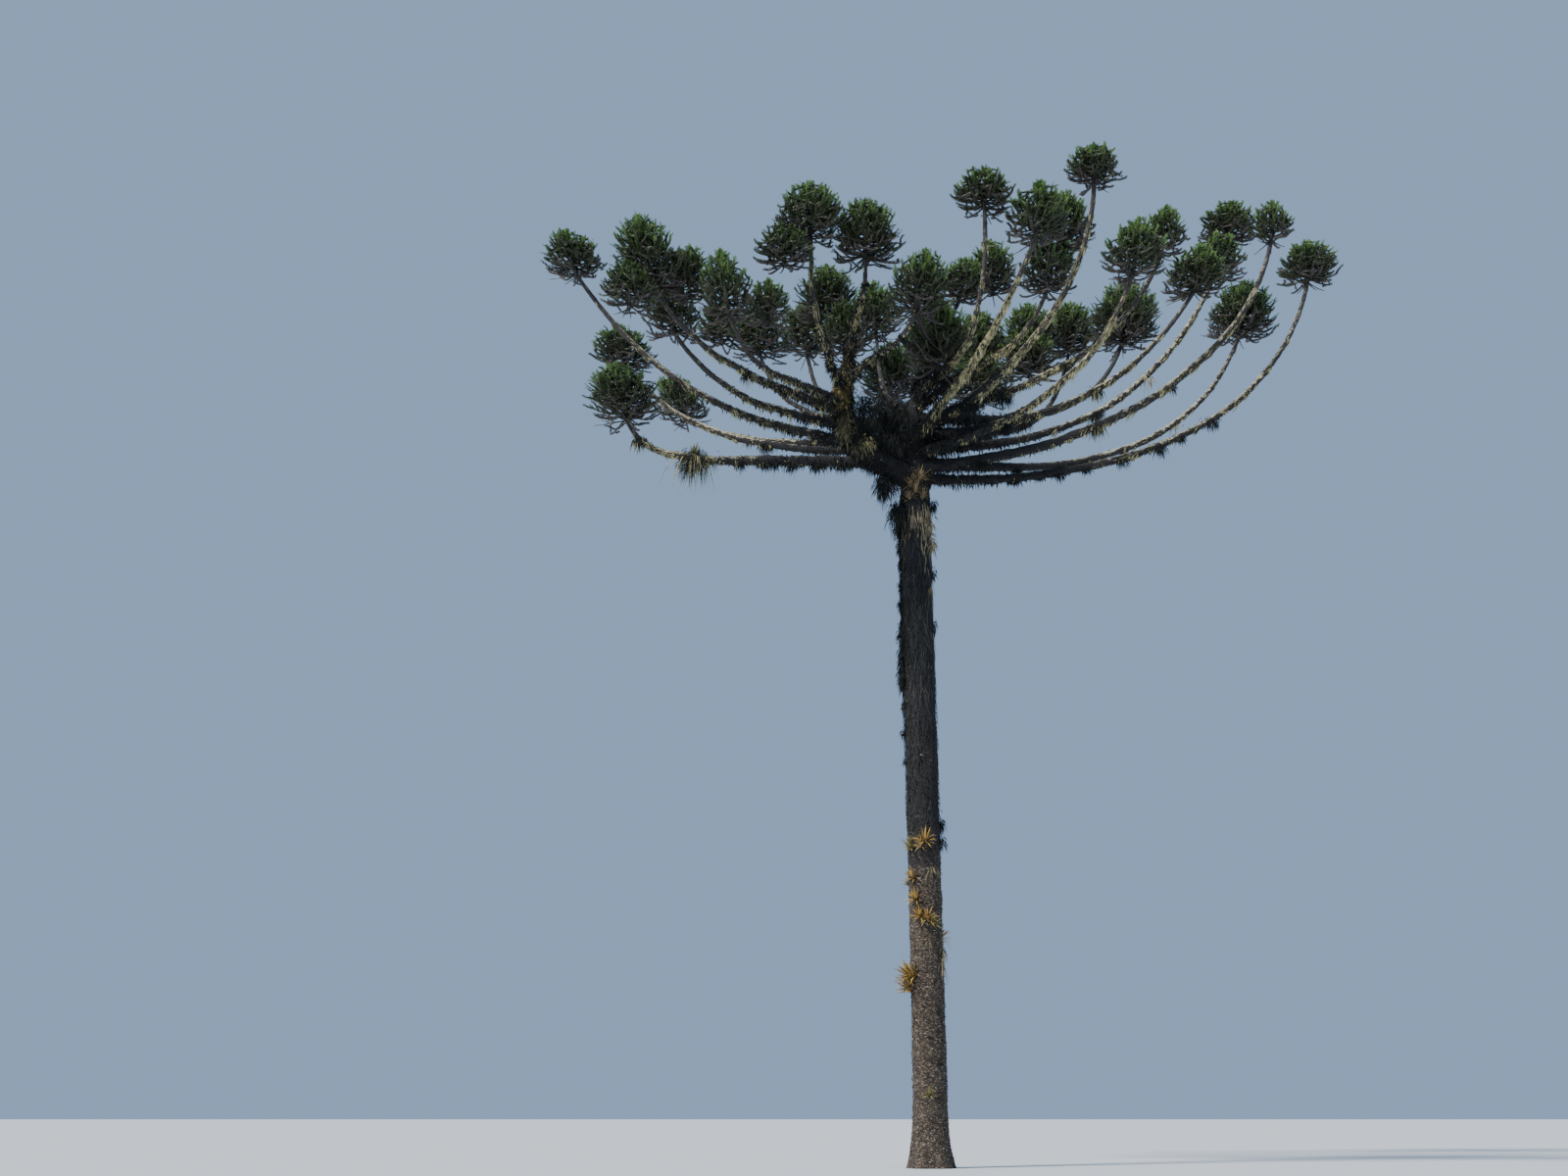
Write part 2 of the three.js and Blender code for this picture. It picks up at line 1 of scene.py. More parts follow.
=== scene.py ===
"""A full-grown candelabra araucaria, dressed over its solid model.

The tree stands on the origin with +Z up, in metres. The camera looks along +Y. The limbs and the heads of
shoots follow the same named sizes and the same rule as the solids, carried on to finer shoots, leaves, bark
and lichen.
"""

import logging
import math
from collections.abc import Callable, Mapping, Sequence
from dataclasses import dataclass, field
from enum import Enum

import bpy
import numpy as np
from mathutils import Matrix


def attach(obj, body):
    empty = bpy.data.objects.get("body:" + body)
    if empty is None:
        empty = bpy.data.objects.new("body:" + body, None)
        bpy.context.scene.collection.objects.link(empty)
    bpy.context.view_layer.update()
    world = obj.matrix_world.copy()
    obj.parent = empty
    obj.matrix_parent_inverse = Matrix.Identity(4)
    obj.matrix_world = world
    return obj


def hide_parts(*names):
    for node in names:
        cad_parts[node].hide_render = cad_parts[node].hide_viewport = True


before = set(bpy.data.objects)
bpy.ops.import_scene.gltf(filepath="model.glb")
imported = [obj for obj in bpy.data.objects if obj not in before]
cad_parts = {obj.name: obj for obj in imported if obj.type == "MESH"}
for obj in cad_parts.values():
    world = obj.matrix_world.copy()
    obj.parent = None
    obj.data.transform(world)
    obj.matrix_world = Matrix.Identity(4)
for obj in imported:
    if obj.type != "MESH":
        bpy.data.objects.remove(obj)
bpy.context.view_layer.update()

LOG = logging.getLogger("araucaria")
Array = np.ndarray
Random = np.random.Generator
Shoots = tuple[np.ndarray, np.ndarray, np.ndarray]
Finish = bpy.types.Material
Colour = tuple[float, float, float]
Span = tuple[float, float]

UP = np.array([0.0, 0.0, 1.0])
GOLDEN_TURN = 2.399963
SEED_FACTOR, SEED_MODULUS = 16807, 2147483647
TINY = 1e-12
NUDGE = 1e-4
HALVINGS = 40
JOINT_GAP = 0.0003
ARM_ROOT = 0.12
PIECE_LIMIT = 190_000
CROWN_LEVEL = 14.4
LINE_STEPS, WOOD_STEPS = 60, 120
FLAP_STEPS = np.array([0.0, 0.6, 1.0])
STEM_SEED, FORK_SEED, BOUGH_SEEDS = 11, 12, 200
COAT_SEED, EPIPHYTE_SEED = 5, 9
HEAD_SEEDS, ARM_SEEDS, TWIG_SEEDS = 100, 7, 3


# Small vector and curve helpers


def mix(a: float | Array, b: float | Array, share: float | Array) -> float | Array:
    """The value at a share of the way from a to b."""
    return a + (b - a) * share


def unit(vectors: Array) -> Array:
    """Vectors scaled to length one."""
    return vectors / np.maximum(np.linalg.norm(vectors, axis=-1, keepdims=True), TINY)


def heading(bearing: float, rise: float) -> Array:
    """A unit direction from a bearing round the tree and a rise above level, both in degrees."""
    turn, lift = math.radians(bearing), math.radians(rise)
    return np.array([math.cos(lift) * math.cos(turn), math.cos(lift) * math.sin(turn), math.sin(lift)])


def level_way(turn: Array) -> Array:
    """Level unit directions at the given turns."""
    return np.stack([np.cos(turn), np.sin(turn), np.zeros_like(turn)], axis=-1)


def quarter_on(level: Array) -> Array:
    """Level directions, a quarter turn further on."""
    return np.stack([-level[..., 1], level[..., 0], level[..., 2]], axis=-1)


def seeded(seed: int) -> Callable[[], float]:
    """A repeatable stream of numbers from 0 to 1, the same as the solids use.

    Args:
        seed: Start of the stream.

    Returns:
        A function that gives the next number.
    """
    state = seed

    def draw() -> float:
        """The next number of the stream."""
        nonlocal state
        state = state * SEED_FACTOR % SEED_MODULUS
        return state / SEED_MODULUS

    return draw


class Course:
    """A curve in space, read at shares of its run from 0 to 1."""

    def point(self, share: Array) -> Array:
        """Places on the curve."""
        raise NotImplementedError

    def tangent(self, share: Array) -> Array:
        """Unit directions along the curve."""
        share = np.asarray(share, float)
        low, high = np.clip(share - NUDGE, 0, 1), np.clip(share + NUDGE, 0, 1)
        return unit(self.point(high) - self.point(low))


class Sweep(Course):
    """A Bezier curve with three or four control points."""

    def __init__(self, *controls: Array) -> None:
        """Keeps the control points."""
        self.controls = np.array(controls, float)

    def point(self, share: Array) -> Array:
        """Places on the curve.

        Args:
            share: Shares of the run, 0 to 1.

        Returns:
            The places.
        """
        share = np.asarray(share, float)[..., None]
        last = len(self.controls) - 1
        return sum(
            math.comb(last, k) * (1 - share) ** (last - k) * share**k * control
            for k, control in enumerate(self.controls)
        )


class SmoothCourse(Course):
    """A centripetal curve that passes through every one of its points."""

    def __init__(self, points: Sequence[Sequence[float]]) -> None:
        """Keeps the points and one more beyond each end."""
        inner = np.array(points, float)
        self.points = np.vstack([2 * inner[0] - inner[1], inner, 2 * inner[-1] - inner[-2]])

    def point(self, share: Array) -> Array:
        """Places on the curve.

        Args:
            share: Shares of the run, 0 to 1.

        Returns:
            The places.
        """
        share = np.atleast_1d(np.asarray(share, float))
        place = share * (len(self.points) - 3)
        leg = np.minimum(place.astype(int), len(self.points) - 4)
        weight = (place - leg)[:, None]
        p0, p1, p2, p3 = (self.points[leg + k] for k in range(4))
        legs = ((p0, p1), (p1, p2), (p2, p3))
        d0, d1, d2 = (np.sqrt(np.linalg.norm(b - a, axis=1))[:, None] for a, b in legs)
        t1 = ((p1 - p0) / d0 - (p2 - p0) / (d0 + d1) + (p2 - p1) / d1) * d1
        t2 = ((p2 - p1) / d1 - (p3 - p1) / (d1 + d2) + (p3 - p2) / d2) * d1
        cubic = 2 * p1 - 2 * p2 + t1 + t2
        square = -3 * p1 + 3 * p2 - 2 * t1 - t2
        return ((cubic * weight + square) * weight + t1) * weight + p1

    def at_height(self, height: float) -> Array:
        """The place where the curve reaches a height.

        Args:
            height: The height.

        Returns:
            The place.
        """
        low, high = 0.0, 1.0
        for _ in range(HALVINGS):
            middle = (low + high) / 2
            if self.point(middle)[0, 2] < height:
                low = middle
            else:
                high = middle
        return self.point(low)[0]


class Pattern(Enum):
    """What a layer of relief looks like."""

    SWELLS = "swells"
    PLATES = "plates"
    KNOBS = "knobs"


@dataclass(frozen=True)
class Layer:
    """One layer of relief on a limb.

    Attributes:
        pattern: What it looks like.
        depth: How far it stands out, in metres or as a share of the limb's radius.
        around: How many cells go round the limb.
        length: The length of a cell along the limb.
        over: How high a swell has to be before it shows as a knob.
    """

    pattern: Pattern
    depth: float
    around: int
    length: float
    over: float = 0.0


class Grain:
    """Smooth and cracked patterns round a limb, which close on themselves."""

    crack_width = 0.3
    jitter = (0.12, 0.88)
    far = 9.0

    def __init__(self, seed: int) -> None:
        """Starts the pattern's own stream of numbers."""
        self.random = np.random.default_rng(seed)

    def waves(self, turn: Array, height: Array, cells: int, cell_height: float) -> Array:
        """Smooth noise.

        Args:
            turn: Places round the limb, 0 to 1.
            height: Places along the limb.
            cells: Number of swells round the limb.
            cell_height: Length of a swell along the limb.

        Returns:
            Values from -1 to 1.
        """
        u, v = turn * cells, height / cell_height
        lattice = self.random.uniform(-1, 1, (int(v.max()) + 3, cells))
        i, j = np.floor(v).astype(int), np.floor(u).astype(int)
        a, b = v - i, u - j
        a, b = a * a * (3 - 2 * a), b * b * (3 - 2 * b)
        near, far = j % cells, (j + 1) % cells
        low = mix(lattice[i, near], lattice[i, far], b)
        high = mix(lattice[i + 1, near], lattice[i + 1, far], b)
        return mix(low, high, a)

    def plates(self, turn: Array, height: Array, cells: int, cell_height: float) -> Array:
        """Bark plates parted by cracks.

        Args:
            turn: Places round the limb, 0 to 1.
            height: Places along the limb.
            cells: Number of plates round the limb.
            cell_height: Length of a plate along the limb.

        Returns:
            0 in a crack, rising to 1 on a plate.
        """
        u, v = turn * cells, height / cell_height
        rows = int(v.max()) + 4
        jitter = self.random.uniform(*self.jitter, (rows, cells, 2))
        i, j = np.floor(v).astype(int), np.floor(u).astype(int)
        first = np.full(u.shape, self.far)
        second = np.full(u.shape, self.far)
        for di in (-1, 0, 1):
            for dj in (-1, 0, 1):
                row, column = np.clip(i + di, 0, rows - 1), j + dj
                seed = jitter[row, column % cells]
                away = np.hypot(column + seed[..., 0] - u, i + di + seed[..., 1] - v)
                second = np.minimum(second, np.maximum(first, away))
                first = np.minimum(first, away)
        return np.clip((second - first) / self.crack_width, 0, 1)

    def relief(self, run: Array, sides: int, layers: Sequence[Layer]) -> Array:
        """The sum of some layers of relief on a limb's rings.

        Args:
            run: How far along the limb each ring is.
            sides: Corners of a ring.
            layers: The layers, in the order in which they draw their numbers.

        Returns:
            How far the bark stands out, rings by sides.
        """
        turn = np.tile(np.arange(sides) / sides, (len(run), 1))
        height = np.repeat(run, sides).reshape(turn.shape)
        total = np.zeros(turn.shape)
        for layer in layers:
            draw = self.plates if layer.pattern is Pattern.PLATES else self.waves
            value = draw(turn, height, layer.around, layer.length)
            if layer.pattern is Pattern.KNOBS:
                value = np.clip(value - layer.over, 0, 1)
            total += layer.depth * value
        return total


# Meshes from arrays


class Pile:
    """Gathers many small meshes and makes them into one object."""

    def __init__(self) -> None:
        """Starts empty."""
        self.vertices: list[Array] = []
        self.triangles: list[Array] = []
        self.nodes: set[str] = set()
        self.count = 0
        self.size = 0

    def add(self, vertices: Array, triangles: Array) -> None:
        """Adds a mesh.

        Args:
            vertices: Places, n by 3.
            triangles: Corner numbers, m by 3.
        """
        self.vertices.append(vertices.reshape(-1, 3))
        self.triangles.append(triangles.reshape(-1, 3) + self.count)
        self.count += len(self.vertices[-1])
        self.size += len(self.triangles[-1])

    def make(self, name: str, material: Finish, slot: str, smooth: bool = True) -> bpy.types.Object:
        """Makes the object, riding on the tree.

        Args:
            name: Name of the piece.
            material: Its finish.
            slot: The record's material slot, not used.
            smooth: Whether faces are shaded smooth.

        Returns:
            The finished piece.
        """
        vertices, triangles = np.concatenate(self.vertices), np.concatenate(self.triangles)
        mesh = bpy.data.meshes.new(name)
        mesh.vertices.add(len(vertices))
        mesh.vertices.foreach_set("co", vertices.astype(np.float32).ravel())
        mesh.loops.add(triangles.size)
        mesh.loops.foreach_set("vertex_index", triangles.astype(np.int32).ravel())
        mesh.polygons.add(len(triangles))
        mesh.polygons.foreach_set("loop_start", np.arange(len(triangles), dtype=np.int32) * 3)
        mesh.polygons.foreach_set("use_smooth", np.full(len(triangles), smooth))
        mesh.materials.append(material)
        mesh.update(calc_edges=True)
        piece = bpy.data.objects.new(name, mesh)
        bpy.context.scene.collection.objects.link(piece)
        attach(piece, "root")
        if self.nodes:
            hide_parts(*sorted(self.nodes))
        LOG.info("%s: %d triangles", name, len(triangles))
        return piece


def surround(centres: Array, across: Array, along: Array, radii: Array) -> tuple[Array, Array]:
    """Surfaces round many lines at once, each closed at both ends where the radius shrinks.

    Args:
        centres: Places down the lines, lines by steps by 3.
        across: Directions square to the lines, of the same shape.
        along: Directions along the lines, of the same shape.
        radii: Radii, lines by steps by sides.

    Returns:
        Vertices and triangles.
    """
    lines, steps, sides = radii.shape
    out = np.cross(across, along)
    turn = np.arange(sides) / sides * math.tau
    spokes = across[:, :, None] * np.cos(turn)[:, None] + out[:, :, None] * np.sin(turn)[:, None]
    vertices = centres[:, :, None] + spokes * radii[..., None]
    first = (np.arange(lines)[:, None, None] * steps + np.arange(steps - 1)[:, None]) * sides
    here, there = np.arange(sides), (np.arange(sides) + 1) % sides
    a, b = first + here, first + there
    quads = np.stack([a, a + sides, b + sides, b], axis=-1).reshape(-1, 4)
    return vertices.reshape(-1, 3), np.concatenate([quads[:, :3], quads[:, [0, 2, 3]]])


def square_to(side: Array, along: Array) -> Array:
    """The part of a direction that is square to another, at length one."""
    return unit(side - np.sum(side * along, axis=-1, keepdims=True) * along)


def tube(centre: Array, along: Array, side: Array, radii: Array) -> tuple[Array, Array]:
    """The surface round one line.

    Args:
        centre: Places down the line, steps by 3.
        along: Directions along it, of the same shape.
        side: The way that the first corner of each ring faces.
        radii: Radii, steps by sides.

    Returns:
        Vertices and triangles.
    """
    return surround(centre[None], square_to(side, along)[None], along[None], radii[None])


def ribbons(roots: Array, taper: Sequence[float], flats: Array, widths: Array) -> tuple[Array, Array]:
    """Flat tapering strands that follow given lines.

    Args:
        roots: Places down each strand, strands by steps by 3.
        taper: Widths at each step, as shares of the widest.
        flats: Directions across each strand, strands by 3.
        widths: Width of each strand at its widest.

    Returns:
        Vertices and triangles.
    """
    strands, steps, _ = roots.shape
    half = flats[:, None] * (widths[:, None] * np.array(taper) / 2)[..., None]
    left, right = roots[:, :-1] - half[:, :-1], roots[:, :-1] + half[:, :-1]
    body = np.stack([left, right], axis=2).reshape(strands, -1, 3)
    vertices = np.concatenate([body, roots[:, -1:]], axis=1)
    corners: list[tuple[int, int, int]] = []
    for k in range(steps - 2):
        corners += [(2 * k, 2 * k + 1, 2 * k + 3), (2 * k, 2 * k + 3, 2 * k + 2)]
    corners.append((2 * steps - 4, 2 * steps - 3, 2 * steps - 2))
    offsets = np.arange(strands)[:, None, None] * (2 * steps - 1)
    return vertices.reshape(-1, 3), (np.array(corners) + offsets).reshape(-1, 3)


# Finishes


def operator(operation: str, reflected: bool = False) -> Callable[["Wire", "Wire | float"], "Wire"]:
    """A method of Wire that adds a Math node, with the wire on the right where it is reflected.

    Args:
        operation: What the Math node does.
        reflected: Whether the wire is on the right.

    Returns:
        The method.
    """

    def apply(wire: "Wire", other: "Wire | float") -> "Wire":
        """The Math node's value."""
        values = (other, wire) if reflected else (wire, other)
        node = wire.sketch.node("ShaderNodeMath", {"operation": operation}, dict(enumerate(values)))
        return Wire(wire.sketch, node.outputs[0])

    return apply


class Wire:
    """A shader value whose arithmetic adds Math nodes."""

    __add__, __radd__ = operator("ADD"), operator("ADD", reflected=True)
    __sub__, __rsub__ = operator("SUBTRACT"), operator("SUBTRACT", reflected=True)
    __mul__, __rmul__ = operator("MULTIPLY"), operator("MULTIPLY", reflected=True)

    def __init__(self, sketch: "Sketch", socket: bpy.types.NodeSocket) -> None:
        """Wraps an output socket."""
        self.sketch = sketch
        self.socket = socket

    def step(self, low: float, high: float) -> "Wire":
        """0 below low, 1 above high, and smooth between.

        Args:
            low: Where it leaves 0.
            high: Where it reaches 1.

        Returns:
            The step.
        """
        settings = {"interpolation_type": "SMOOTHSTEP"}
        sockets = {"Value": self, "From Min": low, "From Max": high}
        node = self.sketch.node("ShaderNodeMapRange", settings, sockets)
        return Wire(self.sketch, node.outputs["Result"])


class Sketch:
    """A material in the making."""

    def __init__(self, name: str) -> None:
        """Starts a material with a bare principled shader."""
        self.material = bpy.data.materials.new(name)
        self.material.use_nodes = True
        self.tree = self.material.node_tree
        self.shader = next(n for n in self.tree.nodes if n.type == "BSDF_PRINCIPLED")

    def node(
        self,
        kind: str,
        settings: Mapping[str, object] | None = None,
        sockets: Mapping[str | int, "Wire | object"] | None = None,
    ) -> bpy.types.Node:
        """Adds a node.

        Args:
            kind: The node's type.
            settings: Its properties, set first.
            sockets: Values or wires for its inputs.

        Returns:
            The new node.
        """
        node = self.tree.nodes.new(kind)
        for key, value in (settings or {}).items():
            setattr(node, key, value)
        for key, value in (sockets or {}).items():
            self.feed(node.inputs[key], value)
        return node

    def feed(self, socket: bpy.types.NodeSocket, value: "Wire | object") -> None:
        """Links a wire to an input, or sets the input's own value.

        Args:
            socket: The input.
            value: A wire or a value.
        """
        if isinstance(value, Wire):
            self.tree.links.new(value.socket, socket)
        else:
            socket.default_value = value

    def places(self, stretch: Sequence[float] = (1, 1, 1)) -> Wire:
        """The object's own coordinates, stretched."""
        spots = Wire(self, self.node("ShaderNodeTexCoord").outputs["Object"])
        node = self.node("ShaderNodeVectorMath", {"operation": "MULTIPLY"}, {0: spots, 1: tuple(stretch)})
        return Wire(self, node.outputs[0])

    def noise(self, places: Wire, scale: float, detail: float = 4, roughness: float = 0.55) -> Wire:
        """Soft noise from 0 to 1."""
        sockets = {"Vector": places, "Scale": scale, "Detail": detail, "Roughness": roughness}
        return Wire(self, self.node("ShaderNodeTexNoise", None, sockets).outputs[0])

    def patches(self, places: Wire, patch: "Patch") -> Wire:
        """1 inside patches and 0 outside, with soft edges."""
        return self.noise(places, patch.scale, patch.detail, patch.ragged).step(*patch.edge)

    def cracks(self, places: Wire, scale: float) -> Wire:
        """Distance to the nearest crack between cells."""
        settings = {"feature": "DISTANCE_TO_EDGE"}
        node = self.node("ShaderNodeTexVoronoi", settings, {"Vector": places, "Scale": scale})
        return Wire(self, node.outputs["Distance"])

    def blend(self, share: Wire | float, first: Wire | Colour, second: Wire | Colour) -> Wire:
        """A colour between two others.

        Args:
            share: How much of the second colour there is.
            first: The colour at 0.
            second: The colour at 1.

        Returns:
            The mixed colour.
        """
        colours = [c if isinstance(c, Wire) else (*c, 1) for c in (first, second)]
        sockets = {0: share, 6: colours[0], 7: colours[1]}
        return Wire(self, self.node("ShaderNodeMix", {"data_type": "RGBA"}, sockets).outputs[2])

    def spread(self) -> Wire:
        """How far a place is from the tree's upright middle line."""
        level = self.places((1, 1, 0))
        node = self.node("ShaderNodeVectorMath", {"operation": "LENGTH"}, {0: level})
        return Wire(self, node.outputs["Value"])

    def height(self) -> Wire:
        """How high a place is."""
        apart = self.node("ShaderNodeSeparateXYZ", None, {0: self.places()})
        return Wire(self, apart.outputs[2])

    def facing_up(self) -> Wire:
        """1 where the surface faces the sky, -1 where it faces the ground."""
        normal = Wire(self, self.node("ShaderNodeNewGeometry").outputs["Normal"])
        return Wire(self, self.node("ShaderNodeSeparateXYZ", None, {0: normal}).outputs[2])

    def relief(self, height: Wire, strength: float, distance: float) -> None:
        """Lets a height stand out of the surface."""
        sockets = {"Strength": strength, "Distance": distance, "Height": height}
        node = self.node("ShaderNodeBump", None, sockets)
        self.feed(self.shader.inputs["Normal"], Wire(self, node.outputs[0]))

    def finish(self, **sockets: Wire | float) -> Finish:
        """Sets the shader's own inputs, named with underscores for spaces, and gives the material."""
        for key, value in sockets.items():
            self.feed(self.shader.inputs[key.replace("_", " ")], value)
        return self.material


@dataclass(frozen=True)
class Patch:
    """Patches of a tone: cells to a metre, detail, where they set in and are full, and raggedness."""

    scale: float
    detail: float
    edge: Span
    ragged: float = 0.55


@dataclass(frozen=True)
class TrunkBark:
    """Rough flaking bark: brown below, with painted shade from the crown's shadow that darkens it higher up,
    and pale crusts of lichen.

    Scales are in cells to a metre, and a pair of numbers is where a tone sets in and where it is full.
    """

    crack: Colour = (0.018, 0.013, 0.010)
    plate: Colour = (0.092, 0.065, 0.044)
    flake: Colour = (0.236, 0.176, 0.122)
    # Painted shade: colours of the crown's shadow over the upper trunk, the second one deeper.
    crown_shadow: Colour = (0.0065, 0.0065, 0.0080)
    shade: Colour = (0.003, 0.004, 0.006)
    crust: Colour = (0.380, 0.370, 0.320)
    flattened: tuple[float, float, float] = (1, 1, 1.7)
    plate_scale: float = 15
    crack_edge: Span = (0.0, 0.16)
    broad_scale: float = 1.6
    coarse_scale: float = 13
    fine_scale: float = 26
    ragged: float = 0.7
    plate_tone: Span = (0.36, 0.56)
    flake_tone: Span = (0.50, 0.66)
    specks: Patch = Patch(16, 2, (0.64, 0.69))
    unevenness: float = 2.4
    crown_shadow_heights: Span = (6.3, 7.9)
    shade_heights: Span = (9.6, 12.0)
    crusts: Patch = Patch(9.5, 5, (0.63, 0.69), 0.62)
    fields: Patch = Patch(0.9, 3, (0.40, 0.62))
    relief_depth: float = 0.012

    def make(self, name: str) -> Finish:
        """The bark as a material.

        Args:
            name: The material's name.

        Returns:
            The material.
        """
        sketch = Sketch(name)
        wide = sketch.places(self.flattened)
        plate = sketch.cracks(wide, self.plate_scale).step(*self.crack_edge)
        broad = sketch.noise(wide, self.broad_scale, 5)
        fine = sketch.noise(wide, self.fine_scale, 6, self.ragged)
        coarse = sketch.noise(wide, self.coarse_scale, 5, self.ragged)
        colour = sketch.blend(plate * coarse.step(*self.plate_tone), self.crack, self.plate)
        flaking = (fine * 0.5 + coarse * 0.5).step(*self.flake_tone)
        colour = sketch.blend(flaking * plate, colour, self.flake)
        colour = sketch.blend(sketch.patches(wide, self.specks) * 0.8, colour, self.crust)
        # Painted shade: the crown's shadow darkens the bark above about six metres, and darker still above
        # about ten.
        level = sketch.height() + broad * self.unevenness
        colour = sketch.blend(level.step(*self.crown_shadow_heights) * 0.94, colour, self.crown_shadow)
        colour = sketch.blend(level.step(*self.shade_heights) * 0.7, colour, self.shade)
        crusted = sketch.patches(wide, self.crusts) * sketch.patches(wide, self.fields)
        colour = sketch.blend(crusted * 0.85, colour, self.crust)
        sketch.relief(plate * 0.6 + fine * 0.8, 0.9, self.relief_depth)
        return sketch.finish(Base_Color=colour, Roughness=0.93 - fine * 0.12)


@dataclass(frozen=True)
class BoughBark:
    """Scaly bark, with painted shade that makes it nearly black in the heart of the crown, and pale lichen
    crust, partly a painted highlight, on the sides that face the sky.
    """

    crack: Colour = (0.012, 0.010, 0.011)
    plate: Colour = (0.034, 0.030, 0.031)
    # Painted shade colour for the crown's heart.
    heart: Colour = (0.007, 0.008, 0.011)
    crust: Colour = (0.450, 0.424, 0.322)
    moss: Colour = (0.050, 0.050, 0.026)
    plate_scale: float = 30
    crack_edge: Span = (0.0, 0.2)
    broad_scale: float = 2.4
    patch_scale: float = 9.0
    fine_scale: float = 34
    mossy: Patch = Patch(5.5, 4, (0.52, 0.7))
    height_weight: float = 1.3
    unevenness: float = 1.6
    heart_shade_reach: Span = (2.8, 6.4)
    sky_share: float = 0.17
    crust_edge: Span = (0.625, 0.695)
    relief_depth: float = 0.01

    def make(self, name: str) -> Finish:
        """The bark as a material.

        Args:
            name: The material's name.

        Returns:
            The material.
        """
        sketch = Sketch(name)
        spots = sketch.places()
        plate = sketch.cracks(spots, self.plate_scale).step(*self.crack_edge)
        broad = sketch.noise(spots, self.broad_scale, 4)
        fine = sketch.noise(spots, self.fine_scale, 6, 0.7)
        colour = sketch.blend(plate, self.crack, self.plate)
        colour = sketch.blend(sketch.patches(spots, self.mossy) * 0.6, colour, self.moss)
        # Painted shade: the bark turns near black towards the trunk and low in the crown, where the crown
        # shades it.
        above = (sketch.height() - CROWN_LEVEL) * self.height_weight
        outer = (sketch.spread() + above + broad * self.unevenness).step(*self.heart_shade_reach)
        # Pale crust, more on faces that look up: partly lichen, partly a painted highlight from the light
        # above.
        sky = sketch.facing_up() * self.sky_share
        patch = sketch.noise(spots, self.patch_scale, 5, 0.65)
        crust = (broad * 0.30 + patch * 0.55 + fine * 0.15 + sky + outer * 0.10).step(*self.crust_edge)
        colour = sketch.blend(crust * 0.92, colour, self.crust)
        colour = sketch.blend((1 - outer) * 0.85, colour, self.heart)
        sketch.relief(plate * 0.5 + fine, 0.9, self.relief_depth)
        return sketch.finish(Base_Color=colour, Roughness=0.95 - fine * 0.1)


@dataclass(frozen=True)
class Leafy:
    """Stiff leaves or strands of one plain colour, with a faint mottle."""

    colour: Colour
    mottle: Colour
    roughness: float
    mottle_scale: float = 7.0
    mottle_edge: Span = (0.35, 0.7)

    def make(self, name: str) -> Finish:
        """The leaves' material.

        Args:
            name: The material's name.

        Returns:
            The material.
        """
        sketch = Sketch(name)
        cloud = sketch.noise(sketch.places(), self.mottle_scale, 3)
        return sketch.finish(
            Base_Color=sketch.blend(cloud.step(*self.mottle_edge), self.colour, self.mottle),
            Roughness=self.roughness + cloud * 0.15,
        )


class Age(Enum):
    """Kinds of leaf on a head, from the newest tips down to the dead skirt."""

    YOUNG = Leafy((0.120, 0.222, 0.044), (0.080, 0.157, 0.032), 0.42)
    GROWN = Leafy((0.062, 0.112, 0.025), (0.040, 0.074, 0.022), 0.42)
    OLD = Leafy((0.055, 0.066, 0.030), (0.034, 0.043, 0.024), 0.45)
    AGED = Leafy((0.104, 0.082, 0.076), (0.058, 0.051, 0.052), 0.6)


# The tree's frame: trunk, fork, boughs and heads


class Carrier(Enum):
    """What a bough grows from."""

    TRUNK = "trunk"
    FORK = "fork"


@dataclass(frozen=True)
class Arm:
    """A further head on a side arm: its bearing and distance from the tip, its size, and its new growth with
    painted sunlight.
    """

    bearing: float
    out: float
    up: float
    width: float
    height: float
    green: float = 1.0


@dataclass(frozen=True)
class Limb:
    """One bough: where it leaves, how it sweeps, and the head of shoots on its tip.

    Attributes:
        name: Its number, as in the solids' names.
        carrier: What it grows from.
        leaves: The height at which it leaves.
        bearing: The way its tip lies round the trunk, in degrees, with 270 towards the camera.
        reach, tip: How far its tip is from the tree's middle line, and how high.
        launch, finish: Its slopes at foot and tip, in degrees above level.
        foot: Its radius at the foot.
        width, height: The main head's size.
        also: Further heads on side arms.
        bend: Whether its solid is split at the bend.
        launch_pull, finish_pull: How far those slopes carry, as shares of the chord.
        green, beard, moss: How much new growth it has, with painted sunlight, how much pale lichen, a low
            beard also giving painted shade to its bark, and how much moss.
        bare: The length of newer wood under the head, over which moss and lichen fade.
    """

    name: str
    carrier: Carrier
    leaves: float
    bearing: float
    reach: float
    tip: float
    launch: float
    finish: float
    foot: float
    width: float
    height: float
    also: tuple[Arm, ...] = ()
    bend: bool = False
    launch_pull: float = 0.45
    finish_pull: float = 0.34
    green: float = 1.0
    beard: float = 1.0
    moss: float = 1.0
    bare: float = 2.0


